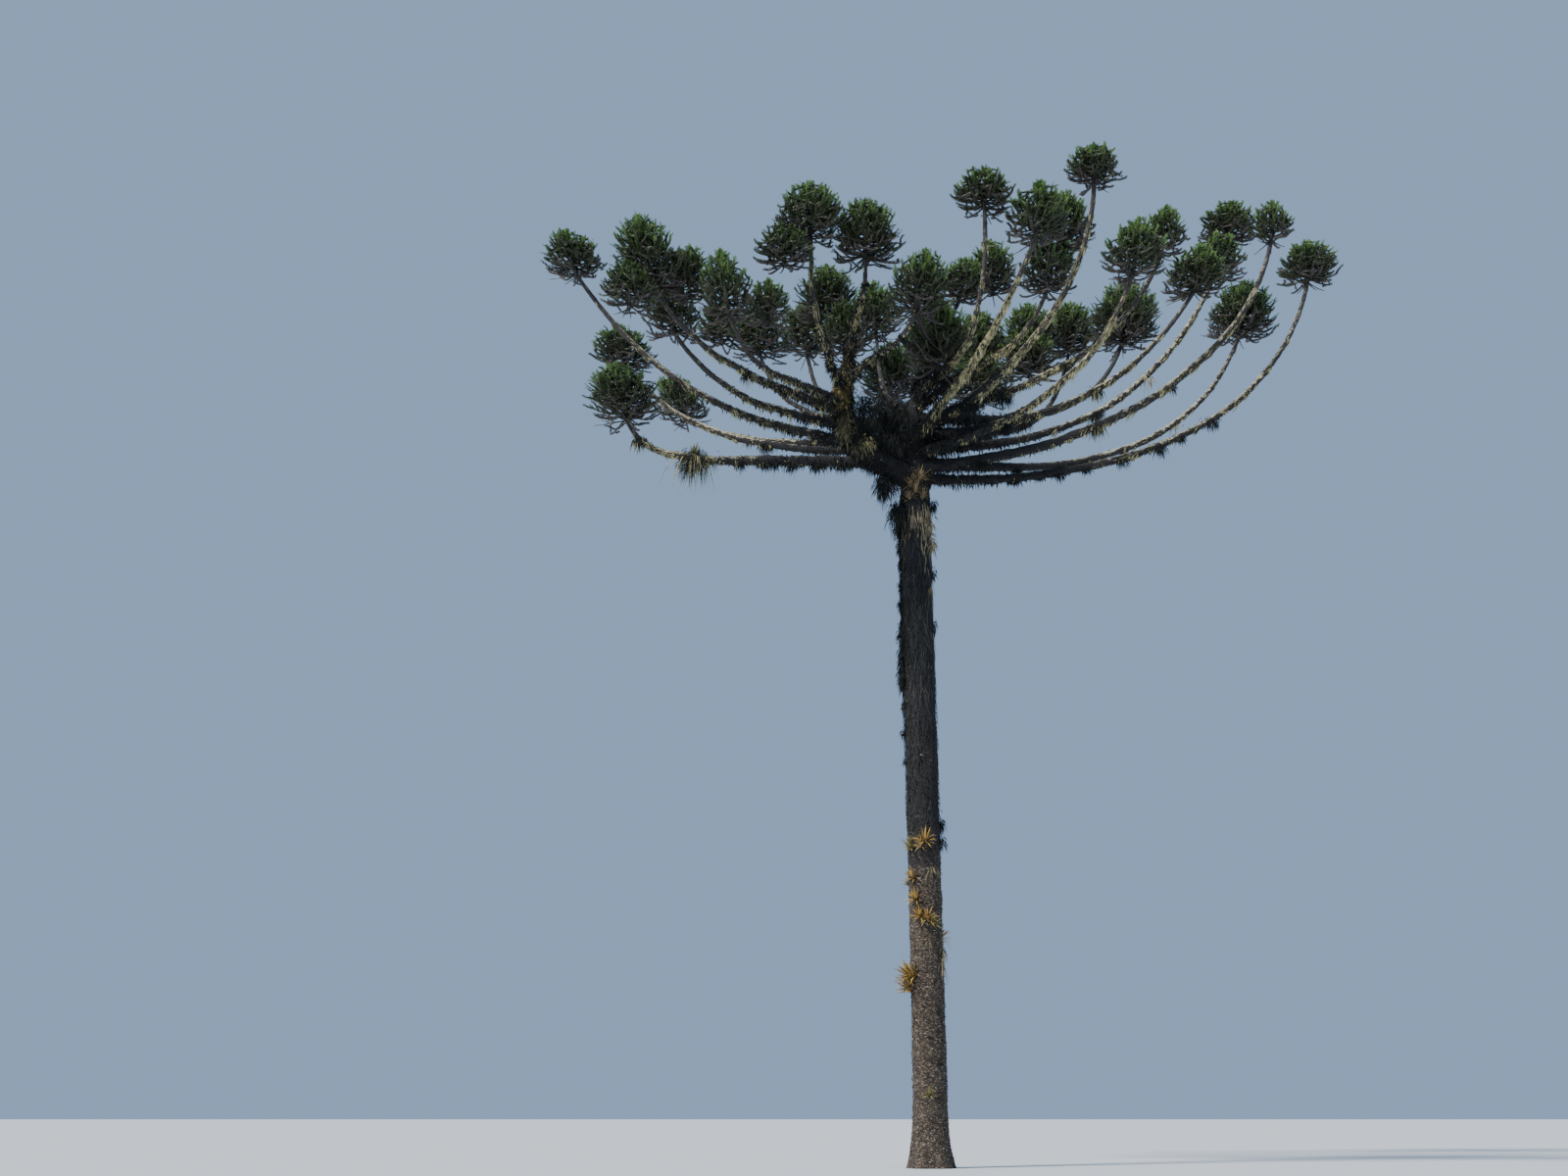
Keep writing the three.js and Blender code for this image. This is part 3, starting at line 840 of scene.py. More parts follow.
TRUNK, FORK = Carrier.TRUNK, Carrier.FORK
LIMBS = (
    Limb("01", TRUNK, 13.76, 0, 8.38, 18.14, -4, 76, 0.112, 1.44, 0.96, bend=True, beard=0.5, bare=2.8),
    Limb("02", TRUNK, 14.15, 23, 8.3, 18.2, 0, 64, 0.1, 1.76, 1.44, bend=True, beard=0.6),
    Limb("03", TRUNK, 13.97, 337, 7.47, 17.74, -2, 76, 0.104, 0.98, 0.84),
    Limb("04", TRUNK, 14.45, 14, 7.37, 19.9, 2, 70, 0.096, 1.5, 1, beard=0.55, bare=2.6),
    Limb("05", TRUNK, 14.66, 354, 5.79, 17.6, 3, 58, 0.092, 1.44, 1.1,
         (Arm(40, 1, 0.64, 1.24, 1.08),), beard=0.65),
    Limb("06", TRUNK, 15.03, 331, 5.39, 17.52, 4, 64, 0.086, 1.06, 1.08, beard=1.2),
    Limb("07", TRUNK, 14.3, 308, 6.03, 16.14, -4, 60, 0.09, 1.26, 1.12, beard=1.2),
    Limb("08", TRUNK, 14.82, 307, 5.3, 18.34, 0, 84, 0.088, 1.22, 0.82, beard=1.7, bare=2.6),
    Limb("09", TRUNK, 14.56, 287, 6.05, 16.4, 12, 34, 0.092, 1.26, 1, beard=1.8),
    Limb("10", TRUNK, 15.48, 287.5, 3.76, 18.08, 8, 90, 0.08, 1.32, 0.92,
         finish_pull=0.68, beard=1.3, bare=2.4),
    Limb("11", FORK, 15.62, 265, 3.01, 16.09, 10, 40, 0.068, 1.38, 1.24,
         (Arm(66, 1.4, -0.62, 1.59, 1.6, 3),), beard=1.7, bare=1.6),
    Limb("12", FORK, 15.9, 248, 3.15, 17.3, 60, 88, 0.074, 1.58, 1.34, beard=0.8, bare=1.2),
    Limb("13", FORK, 15.4, 236, 4.06, 17.5, 8, 89, 0.08, 1.56, 1.28,
         (Arm(205, 0.58, -0.62, 1.26, 0.9, 0.1),), finish_pull=0.52, beard=0.8, bare=1.6),
    Limb("14", FORK, 14.32, 190, 7.18, 17.74, 6, 56, 0.096, 1.36, 1.02, beard=0.9, bare=5),
    Limb("15", FORK, 14.58, 204, 5.4, 16, 5, 54, 0.086, 1.34, 1.24, green=0.6, beard=1.1, bare=2.2),
    Limb("16", FORK, 14.84, 215, 6.42, 16.32, 8, 48, 0.094, 1.6, 1.46,
         (Arm(217, 0.62, -0.5, 1.2, 1, 0.1), Arm(30, 0.7, 0, 1.1, 1.14, 0.8)), beard=1.3, bare=2.6),
    Limb("17", FORK, 15.1, 227, 5.58, 15.56, 0, 50, 0.076, 1.16, 1.3,
         (Arm(40, 0.9, 0.14, 1.04, 0.96, 0.5),), beard=1.2),
    Limb("18", TRUNK, 14.42, 158, 6.82, 17.2, 4, 52, 0.088, 1.52, 1.08, beard=0.9, moss=1.4, bare=3.2),
    Limb("19", TRUNK, 14.08, 176, 6.14, 15.17, 4, 62, 0.138, 1.68, 1.3,
         bend=True, launch_pull=0.74, finish_pull=0.22, beard=1.3, moss=1.1, bare=1.5),
    Limb("20", TRUNK, 14.68, 135.5, 7.14, 16.81, 11, 28, 0.09, 1.3, 1.4, beard=1.1, moss=1.5),
    Limb("21", TRUNK, 15.44, 111, 6.23, 18.82, 2, 68, 0.09, 1.48, 1.46,
         (Arm(298, 0.96, 0.54, 1.64, 1.42),), green=0.8, beard=0.3, moss=2),
    Limb("22", TRUNK, 15.06, 137, 4.56, 17.72, 10, 70, 0.074, 1.5, 1.24,
         (Arm(160, 0.98, 0.4, 1.3, 1.06, 0.9),), green=0.9, beard=0.3, moss=1.4),
    Limb("23", TRUNK, 14.86, 99, 4.06, 18.52, 34, 80, 0.078, 1.34, 1.48,
         (Arm(150, 0.86, -0.28, 1.44, 1.4, 0.2),), beard=0.12, moss=2),
    Limb("24", TRUNK, 14.3, 82, 6.67, 18.68, 22, 68, 0.09, 2, 1.7,
         (Arm(205, 1.24, -0.88, 1.59, 1.44, 1.2), Arm(330, 1.24, -0.18, 1.5, 1.54, 1.5),
          Arm(318, 1.3, -1.15, 1.7, 1.34, 1.2)),
         green=1.7, beard=0.3, moss=2),
    Limb("25", TRUNK, 15.06, 41, 6.84, 18.5, 14, 62, 0.088, 1.96, 1.76, green=1.7, beard=0.3, moss=1.4),
    Limb("26", TRUNK, 14.78, 56, 7.47, 18.98, 16, 68, 0.094, 1.68, 1.44,
         (Arm(210, 1.19, -0.36, 1.54, 1.44, 1.7), Arm(218, 1.42, -0.92, 1.6, 1.26, 1.6)),
         green=1.6, beard=0.3, moss=1.6),
    Limb("27", TRUNK, 15.24, 308, 3.8, 16.56, 22, 58, 0.078, 1.26, 1.34,
         (Arm(330, 0.42, 0.86, 1.38, 1.24),), green=0.7, beard=1.8, bare=1.4),
)
LEADER_HEAD = (1.26, 1.08)
LEADER_ARM = Arm(36, 1, 0.4, 1.34, 1.3)


PLATES, SWELLS, KNOBS = Pattern.PLATES, Pattern.SWELLS, Pattern.KNOBS
TRUNK_RELIEF = (
    Layer(PLATES, 0.013, 24, 0.062), Layer(SWELLS, 0.010, 5, 0.55), Layer(SWELLS, 0.006, 14, 0.16),
    Layer(SWELLS, 0.004, 40, 0.05), Layer(KNOBS, 0.05, 7, 0.34, 0.62),
)
FORK_RELIEF = (Layer(PLATES, 0.011, 18, 0.06), Layer(SWELLS, 0.012, 4, 0.4), Layer(KNOBS, 0.05, 5, 0.3, 0.55))
BOUGH_RELIEF = (Layer(SWELLS, 0.10, 4, 0.22), Layer(PLATES, 0.09, 8, 0.09), Layer(KNOBS, 0.55, 3, 0.21, 0.55))
STEM_RELIEF = (Layer(SWELLS, 0.16, 3, 0.12),)


@dataclass(frozen=True)
class Trunk:
    """The forked trunk: its course, its taper and its root flare. A mesh is given as its rings and sides."""

    radius_foot: float = 0.33
    radius_under_crown: float = 0.305
    radius_over_crown: float = 0.09
    radius_top: float = 0.044
    crown_foot: float = 13.3
    crown_head: float = 16.1
    top: float = 18.05
    flare: float = 0.125
    flare_height: float = 0.42
    flare_lobes: int = 5
    lobe_depth: float = 0.3
    fork_foot: float = 0.225
    fork_top: float = 0.115
    fork_length: float = 3.4
    collar: float = 0.22
    collar_length: float = 0.14
    stem_mesh: tuple[int, int] = (660, 84)
    fork_mesh: tuple[int, int] = (120, 48)
    crowding: float = 1.12
    stem_sunk: float = 0.009
    fork_sunk: float = 0.008
    course: SmoothCourse = SmoothCourse([
        (0, 0, -0.03), (-0.015, 0, 4), (-0.06, 0.01, 9), (-0.1, 0, 12.6), (-0.06, 0, 14.3),
        (0.01, 0.04, 15.6), (0.48, 0.34, 16.9), (1.0, 0.78, 18.05),
    ])
    fork: SmoothCourse = SmoothCourse([
        (-0.1, -0.05, 13.7), (-0.82, -0.45, 13.96), (-1.4, -0.76, 14.36), (-1.58, -0.86, 15.0),
        (-1.56, -0.85, 15.5), (-1.43, -0.79, 16.06),
    ])

    def radius(self, height: Array, angle: Array | float = 0.0) -> Array:
        """The trunk's radius at a height and an angle round it.

        Args:
            height: Heights.
            angle: Turns round it, in radians.

        Returns:
            Radii.
        """
        places = (0, self.crown_foot, self.crown_head, self.top)
        sizes = (self.radius_foot, self.radius_under_crown, self.radius_over_crown, self.radius_top)
        lobes = 1 + self.lobe_depth * np.cos(self.flare_lobes * angle)
        return np.interp(height, places, sizes) + self.flare * np.exp(-height / self.flare_height) * lobes

    def fork_radius(self, share: Array) -> Array:
        """The fork's radius at a share of its run."""
        return mix(self.fork_foot, self.fork_top, np.asarray(share, float))

    def _stem(self, pile: Pile) -> None:
        """Adds the main stem, with bark plates and swells.

        Args:
            pile: Where it goes.
        """
        rings, sides = self.stem_mesh
        share = np.linspace(0, 1, rings) ** self.crowding
        centre, along = self.course.point(share), self.course.tangent(share)
        height = np.maximum(centre[:, 2], 0)
        smooth = self.radius(height[:, None], np.arange(sides) / sides * math.tau)
        slim = np.clip(smooth / self.radius_under_crown, 0.2, 1)
        relief = Grain(STEM_SEED).relief(height, sides, TRUNK_RELIEF) - self.stem_sunk
        vertices, triangles = tube(centre, along, np.array([0.0, 1.0, 0.0]), smooth + relief * slim)
        vertices[:, 2] = np.maximum(vertices[:, 2], 0)
        pile.add(vertices, triangles)
        foot = np.vstack([vertices[:sides], [[0, 0, 0]]])
        ring = np.arange(sides)
        pile.add(foot, np.stack([ring, (ring + 1) % sides, np.full(sides, sides)], axis=1))

    def _second_stem(self, pile: Pile) -> None:
        """Adds the fork limb, rooted inside the main stem.

        Args:
            pile: Where it goes.
        """
        rings, sides = self.fork_mesh
        share = np.linspace(0, 1, rings)
        relief = Grain(FORK_SEED).relief(share * self.fork_length, sides, FORK_RELIEF) - self.fork_sunk
        collar = 1 + self.collar * np.exp(-share / self.collar_length)
        radii = (self.fork_radius(share) * collar)[:, None] + relief
        radii[-1] = 0.0
        radii[-2] *= 0.75
        side = np.array([-0.48, 0.88, 0.0])
        pile.add(*tube(self.fork.point(share), self.fork.tangent(share), side, radii))

    def dress(self, bark: Finish) -> None:
        """Builds the trunk in place of its solid.

        Args:
            bark: The finish.
        """
        pile = Pile()
        pile.nodes = {"trunk"}
        self._stem(pile)
        self._second_stem(pile)
        pile.make("trunk_and_fork", bark, "trunk_bark")


@dataclass
class Bough:
    """One bough of the crown, on its course from the trunk or fork to its tip."""

    limb: Limb
    trunk: Trunk
    tip_radius: float = 0.042
    taper: float = 0.85
    collar: float = 0.16
    collar_length: float = 0.05
    ring_gap: float = 0.055
    sides: int = 14
    sunk: float = 0.06
    girth_luck: float = 0.10
    scar_depth: float = 0.05
    newer_range: Span = (0.10, 0.75)
    least_clothed: float = 0.08
    course: Sweep = field(init=False)
    side: Array = field(init=False)
    length: float = field(init=False)

    def __post_init__(self) -> None:
        """Lays the course."""
        limb = self.limb
        carrier = self.trunk.fork if limb.carrier is FORK else self.trunk.course
        foot = carrier.at_height(limb.leaves)
        tip = heading(limb.bearing, 0) * limb.reach + UP * limb.tip
        chord = float(np.linalg.norm(tip - foot))
        bearing = math.degrees(math.atan2(tip[1] - foot[1], tip[0] - foot[0]))
        launch = heading(bearing, limb.launch) * chord * limb.launch_pull
        finish = heading(bearing, limb.finish) * chord * limb.finish_pull
        self.course = Sweep(foot, foot + launch, tip - finish, tip)
        self.side = heading(bearing + 90, 0)
        line = self.course.point(np.linspace(0, 1, LINE_STEPS))
        self.length = float(np.linalg.norm(np.diff(line, axis=0), axis=1).sum())

    def radius(self, share: Array) -> Array:
        """An even taper with a low collar at the foot."""
        share = np.asarray(share, float)
        taper = mix(self.limb.foot, self.tip_radius, np.power(share, self.taper))
        return taper * (1 + self.collar * np.exp(-share / self.collar_length))

    def nodes(self) -> set[str]:
        """The solids that the bough stands for."""
        name = f"bough_{self.limb.name}"
        return {f"{name}_foot", f"{name}_arm"} if self.limb.bend else {name}

    def wander(self, share: Array) -> Array:
        """How far the living bough strays from its smooth course, nothing at either end.

        Args:
            share: Shares of the run, 0 to 1.

        Returns:
            Offsets.
        """
        phase = 1.7 * int(self.limb.name)
        fade = np.sin(math.pi * share) ** 0.7
        sway = (np.sin(share * 9.5 + phase) + 0.6 * np.sin(share * 21 + 2 * phase)) * 0.018
        lift = (np.sin(share * 8.1 + 3 * phase) + 0.6 * np.sin(share * 24 + phase)) * 0.016
        return (sway * fade)[:, None] * self.side + (lift * fade)[:, None] * UP

    def line(self, share: Array) -> tuple[Array, Array]:
        """Places and directions down the living bough."""
        return self.course.point(share) + self.wander(share), self.course.tangent(share)

    def clothed(self, share: Array) -> Array:
        """How thickly moss and lichen clothe the bough: hardly at all just under its head."""
        below_head = (1 - share) * self.length / self.limb.bare
        return self.least_clothed + (1 - self.least_clothed) * np.clip(below_head - 0.15, 0, 1) ** 1.5

    def dress(self, bark: Finish, bare: Finish) -> None:
        """Builds the bough in place of its solids.

        Args:
            bark: The finish of most of it.
            bare: The finish of its newer wood, under the head.
        """
        number, rings = int(self.limb.name), int(self.length / self.ring_gap)
        share = np.linspace(0, 1, rings)
        run = share * self.length
        grain = Grain(BOUGH_SEEDS + number)
        relief = grain.relief(run, self.sides, BOUGH_RELIEF)
        relief += self.girth_luck * grain.random.uniform(-1, 1) - self.sunk
        relief *= mix(0.35, 1.0, self.clothed(share))[:, None]
        scars = self.scar_depth * np.sin(run * 21 + 2 * np.sin(run * 3.1))
        radii = self.radius(share)[:, None] * (1 + relief + scars[:, None])
        pile = Pile()
        pile.nodes = self.nodes()
        vertices, triangles = tube(*self.line(share), self.side, radii)
        pile.add(vertices, triangles)
        piece = pile.make(f"bough_{self.limb.name}_bark", bark, "bough_bark")
        piece.data.materials.append(bare)
        ring = np.minimum(triangles[:, 0] // self.sides, rings - 1)
        luck = np.random.default_rng(number).uniform(*self.newer_range, len(ring))
        newer = self.clothed(share[ring]) < luck
        piece.data.polygons.foreach_set("material_index", newer.astype(np.int32))


@dataclass(frozen=True)
class Head:
    """One round head of shoots, on a bough's tip or on a side arm."""

    node: str
    base: Array
    along: Array
    width: float
    height: float
    root: Array | None
    seed: int
    green: float
    lean_share: float = 0.4
    middle_rise: float = 0.45
    stem_rise: float = 0.62
    arm_rise: float = 0.5

    @property
    def lean(self) -> Array:
        """How the head leans the way its bough ends, for each unit of height."""
        tilt = mix(UP, self.along, self.lean_share)
        return tilt / tilt[2]

    @property
    def middle(self) -> Array:
        """The head's middle."""
        return self.base + self.lean * self.middle_rise * self.height

    def at(self, outward: Array, out: Array | float, rise: Array) -> Array:
        """A place in the head.

        Args:
            outward: Level directions out of its line.
            out: Distances along them.
            rise: Heights above the base, as shares of the head's height.

        Returns:
            The places.
        """
        along = self.lean * (np.asarray(rise) * self.height)[..., None]
        return self.base + outward * np.asarray(out)[..., None] + along

    def stem(self) -> Sweep:
        """The stem inside the head."""
        length = self.stem_rise * self.height
        return Sweep(self.base, self.base + self.along * length * 0.45, self.base + self.lean * length)

    def arm(self) -> Sweep:
        """The arm that carries a further head: out level from the stem, then up."""
        over = self.base - self.root
        bend = self.root + over * (0.7, 0.7, 0) + UP * min(0.0, over[2]) * 0.8
        return Sweep(self.root, bend, self.base + UP * self.arm_rise * self.height)


def heads_of(
    node: str, index: int, tip: Array, along: Array, size: Span, arms: Sequence[Arm], green: float = 1.0
) -> list[Head]:
    """The heads that one tip carries.

    Args:
        node: The solid that they stand for.
        index: Number of the mass, which seeds its shoots.
        tip: Where the bough ends.
        along: The bough's direction there.
        size: Width and height of the main head.
        arms: Further heads.
        green: How much new growth the main head has, with painted sunlight.

    Returns:
        The heads, the main one first.
    """
    base = tip + along * JOINT_GAP
    root = base + along * ARM_ROOT * size[1]
    seed = HEAD_SEEDS * (index + 1)
    made = [Head(node, base, along, size[0], size[1], None, seed, green)]
    for place, arm in enumerate(arms, 1):
        spot = base + heading(arm.bearing, 0) * arm.out + UP * arm.up
        made.append(Head(node, spot, UP, arm.width, arm.height, root, seed + ARM_SEEDS * place, arm.green))
    return made


@dataclass
class Foliage:
    """All the shoots of the crown, grown by the solids' rule and dealt out by age.

    Rises are shares of a head's height, and places are shares of a shoot's run.
    """

    heads: list[Head]
    wood: Array
    wood_radius: Array
    shoots_per_square: float = 36
    side_shoots: int = 4
    leaves_on_main: int = 64
    leaves_on_side: int = 40
    leaf_length: float = 0.043
    leaf_width: float = 0.024
    core_radius: float = 0.017
    core_end: float = 0.0005
    core_sides: int = 3
    main_rings: int = 6
    side_rings: int = 4
    lowest: float = 0.02
    widest: float = 0.22
    foot_width: float = 0.9
    sizes: Span = (0.84, 1.06)
    shortening: Span = (1.02, 0.70)
    root_rises: Span = (0.06, 0.56)
    side_places: Span = (0.30, 0.84)
    side_bare: float = 0.08
    clear: float = 0.03
    far_off: float = 3.5
    own_tip: float = 0.12
    overlap: float = 0.13
    old_below: float = 0.52
    old_within: float = 0.40
    aged_below: float = 0.21
    young_above: float = 0.62
    young_tips: Span = (0.98, 0.55)
    growth_and_sun_limits: Span = (0.2, 1.9)
    piles: dict[Age, list[Pile]] = field(default_factory=dict)
    twigs: list[Pile] = field(default_factory=lambda: [Pile()])

    def profile(self, rise: Array) -> Array:
        """A head's half width at a height above its base, both as shares of the full size.

        Args:
            rise: Heights above the base.

        Returns:
            Half widths.
        """
        over = np.clip((rise - self.widest) / (1 - self.widest), 0, 1)
        dome = np.power(np.maximum(0, 1 - over * over), 0.45)
        return np.where(rise < self.widest, mix(self.foot_width, 1, np.maximum(rise, 0) / self.widest), dome)

    def _main_shoots(self, head: Head) -> Shoots:
        """The shoots that spring from a head's stem.

        Args:
            head: The head to fill.

        Returns:
            Control points, shoots by 4 by 3, the shoots' outward directions, and how high each one ends.
        """
        random = seeded(head.seed)
        count = round(self.shoots_per_square * head.width * (head.width + head.height) / 2)
        draws = np.array([[random() for _ in range(4)] for _ in range(count)])
        age = (np.arange(count) + 0.5) / count
        turn = np.arange(count) * GOLDEN_TURN + head.seed + 0.5 * (draws[:, 0] - 0.5)
        lobes = 1 + 0.06 * np.sin(2 * turn + head.seed) + 0.05 * np.sin(3 * turn + 2.3 * head.seed)
        size = mix(*self.sizes, draws[:, 1]) * lobes
        outward, early = level_way(turn), 1 - age
        largest = np.minimum(size, self.sizes[1])
        tip_rise = mix(self.lowest, largest, np.power(age, 0.8)) - 0.13 * np.exp(-age / 0.03)
        short = mix(*self.shortening, np.clip(draws[:, 2] * 1.8 - 0.7, 0, 1))
        tip_out = head.width / 2 * size * short * self.profile(tip_rise)
        root_rise = mix(*self.root_rises, age)
        bend_rise = mix(root_rise, tip_rise, 0.2) - 0.03 - 0.05 * draws[:, 2] * early
        swing = quarter_on(outward) * ((draws[:, 3] - 0.5) * 0.16 * head.width)[:, None]
        root = head.at(outward, 0 * tip_out, root_rise)
        bend = head.at(outward, tip_out * 0.48, bend_rise) + swing * 0.3
        upturn = 0.46 - 0.30 * early**3
        late_out = tip_out * (0.80 + 0.14 * np.sin(math.pi * age))
        late_rise = mix(bend_rise, tip_rise, upturn) - 0.07 * early**4
        late = head.at(outward, late_out, late_rise) + swing * 0.9
        tip = head.at(outward, tip_out, tip_rise) + swing
        return np.stack([root, bend, late, tip], axis=1), outward, tip_rise

    def _side_shoots(self, head: Head, mains: Array, outward: Array, rise: Array, random: Random) -> Shoots:
        """Shoots that branch off the outer part of the main ones and turn up beside them.

        Args:
            head: Their head.
            mains: Control points of the main shoots.
            outward: The main shoots' outward directions.
            rise: How high the main shoots end.
            random: The head's stream of numbers.

        Returns:
            The same three values as for the main shoots.
        """
        count, per = len(mains), self.side_shoots
        place = np.linspace(*self.side_places, per) + random.uniform(-0.05, 0.05, (count, per))
        start, along = self._places(mains, place)
        hand = np.where(np.arange(per) % 2, -1, 1) * random.choice([-1, 1], (count, 1))
        own_rise = rise[:, None] + random.uniform(-0.06, 0.11, (count, per))
        own_rise = np.clip(own_rise, self.lowest - 0.02, 1.04)
        reach = head.width / 2 * self.profile(own_rise) * mix(0.48, 1.07, random.random((count, per)) ** 1.5)
        apart = random.uniform(0.08, 0.34, (count, per)) * mix(1.2, 0.8, place)
        turn = np.arctan2(outward[:, 1], outward[:, 0])[:, None] + hand * apart / np.maximum(reach, 0.3)
        own_out = level_way(turn)
        tip = head.at(own_out, reach, own_rise)
        chord = np.linalg.norm(tip - start, axis=-1, keepdims=True)
        bend = start + unit(along + quarter_on(own_out) * 0.8 * hand[..., None]) * chord * 0.3
        finish = self._places(mains, np.ones(1))[1]
        upturn = finish * 0.8 + own_out * 0.8 + random.normal(0, 0.26, (count, per, 3))
        late = tip - unit(upturn) * chord * 0.5
        controls = np.stack([start, bend, late, tip], axis=2)
        chosen = (random.random((count, per)) < np.interp(rise, [0.0, 0.40], [0.34, 1.0])[:, None]).ravel()
        return controls.reshape(-1, 4, 3)[chosen], own_out.reshape(-1, 3)[chosen], own_rise.ravel()[chosen]

    def _clear_of(self, head: Head, controls: Array) -> Array:
        """Which shoots keep to their own head's space and touch no limb.

        Args:
            head: The shoots' own head.
            controls: Their control points.

        Returns:
            True for each shoot that may stay.
        """
        places = self._places(controls, np.linspace(0.35, 1, 6))[0]
        keep = np.ones(len(controls), bool)
        radius = head.width / 2
        own = np.linalg.norm(places - head.middle, axis=2) / radius
        for other in self.heads:
            apart = np.linalg.norm(other.middle - head.middle)
            if other is head or apart > self.far_off:
                continue
            reach = other.width / 2
            inside = np.linalg.norm(places - other.middle, axis=2) / reach - own
            keep &= (inside * reach * radius / (reach + radius)).min(axis=1) > -self.overlap
        near = np.linalg.norm(self.wood - head.middle, axis=1) < 1.3 * max(radius, head.height)
        picked = near & (np.linalg.norm(self.wood - head.base, axis=1) > self.own_tip)
        if picked.any():
            gaps = np.linalg.norm(places[:, :, None] - self.wood[picked], axis=3) - self.wood_radius[picked]
            keep &= gaps.min(axis=(1, 2)) > self.clear
        return keep

    @staticmethod
    def _places(controls: Array, share: Array) -> tuple[Array, Array]:
        """Places and directions down many cubic curves.

        Args:
            controls: Curves by 4 by 3.
            share: Shares of the run, either one row for all curves or a row for each.

        Returns:
            Places and unit directions, curves by shares by 3.
        """
        t = np.broadcast_to(share, (len(controls), np.shape(share)[-1]))[..., None]
        a, b, c, d = (controls[:, None, k] for k in range(4))
        point = (1 - t) ** 3 * a + 3 * (1 - t) ** 2 * t * b + 3 * (1 - t) * t * t * c + t**3 * d
        along = (1 - t) ** 2 * (b - a) + 2 * (1 - t) * t * (c - b) + t * t * (d - c)
        return point, unit(along)

    def _leaves(self, controls: Array, outward: Array, share: Array, spin: Array, scale: Array) -> Array:
        """Stiff triangular leaves, widest at the foot, in a spiral round their shoots.

        Args:
            controls: The shoots' control points.
            outward: The shoots' outward directions.
            share: Where on its shoot each leaf stands, shoots by leaves.
            spin: The leaves' turn round the shoot.
            scale: Size of each leaf against the full size.

        Returns:
            The three corners of each leaf, shoots by leaves by 3 by 3.
        """
        point, along = self._places(controls, share)
        across = square_to(quarter_on(outward)[:, None], along)
        out = np.cross(across, along)
        radial = across * np.cos(spin)[..., None] + out * np.sin(spin)[..., None]
        flat = np.cross(along, radial)
        slope = mix(0.23, 0.13, np.clip((share - 0.8) / 0.2, 0, 1))[..., None]
        way = unit(along + radial * slope)
        length, width = (self.leaf_length * scale)[..., None], (self.leaf_width * scale)[..., None]
        foot = point + radial * self.core_radius
        half = flat * width / 2
        return np.stack([foot - half, foot + half, foot + way * length], axis=2)

    def _pile(self, age: Age, node: str, room: int) -> Pile:
        """The pile that takes a head's next leaves of an age, begun anew where the last is full.

        Args:
            age: The leaves' age.
            node: The head's solid.
            room: How many leaves come.

        Returns:
            The pile.
        """
        piles = self.piles.setdefault(age, [Pile()])
        if piles[-1].size + room > PIECE_LIMIT:
            piles.append(Pile())
        if age is Age.GROWN:
            piles[-1].nodes.add(node)
        return piles[-1]

    def _twig_cores(self, controls: Array, outward: Array, steps: int) -> None:
        """Adds the woody middles of some shoots, in the given number of rings.

        Args:
            controls: Their control points.
            outward: Their outward directions.
            steps: Rings on each.
        """
        count, share = len(controls), np.linspace(0, 1, steps)
        point, along = self._places(controls, share)
        across = square_to(quarter_on(outward)[:, None], along)
        taper = self.core_radius * mix(1.1, 0.6, share)
        radii = np.tile(taper[None, :, None], (count, 1, self.core_sides))
        radii[:, -1] = self.core_end
        if self.twigs[-1].size + count * 2 * self.core_sides * (steps - 1) > PIECE_LIMIT:
            self.twigs.append(Pile())
        self.twigs[-1].add(*surround(point, across, along, radii))

    def _ages(self, rise: Array, place: Array, green: float, random: Random) -> Array:
        """The age of each leaf, as its number in Age.

        Args:
            rise: How high each shoot ends.
            green: How much new growth the head has, with painted sunlight.
            place: Where on its shoot each leaf stands.
            random: The head's stream of numbers.

        Returns:
            Numbers, shoots by leaves.
        """
        young, grown, old, aged = range(len(Age))
        luck = random.uniform(-0.5, 0.5, len(rise))
        ages = np.full(place.shape, grown)
        low = (rise < self.old_below + 0.3 * luck)[:, None]
        ages[low | (place < self.old_within + 0.3 * luck[:, None])] = old
        ages[rise < self.aged_below + 0.26 * luck] = aged
        # Young leaves on the outer part of high shoots are new growth and partly a painted highlight of the
        # sunlit tops of the heads; green adds more of them as painted sunlight and fewer on heads in shade.
        high = rise[:, None] > self.young_above + 0.22 * luck[:, None]
        least, most = self.growth_and_sun_limits
        growth_and_sun_share = np.minimum(np.clip(rise, 0, 1) ** 2 * green, most)
        outermost = place > mix(*self.young_tips, growth_and_sun_share)[:, None]
        ages[high & outermost & (growth_and_sun_share > least)[:, None]] = young
        return ages

    def _grow(self, head: Head) -> None:
        """Adds one head's shoots and leaves.

        Args:
            head: The head.
        """
        random = np.random.default_rng(head.seed)
        mains = self._main_shoots(head)
        keep = self._clear_of(head, mains[0])
        mains = tuple(value[keep] for value in mains)
        sides = self._side_shoots(head, *mains, random)
        keep = self._clear_of(head, sides[0])
        sides = tuple(value[keep] for value in sides)
        bare = mix(0.12, 0.5, np.clip(mains[2], 0, 1))[:, None]
        self._twig_cores(mains[0], mains[1], self.main_rings)
        self._twig_cores(sides[0], sides[1], self.side_rings)
        self._clothe(head, mains, bare, self.leaves_on_main, random)
        self._clothe(head, sides, np.full((len(sides[0]), 1), self.side_bare), self.leaves_on_side, random)

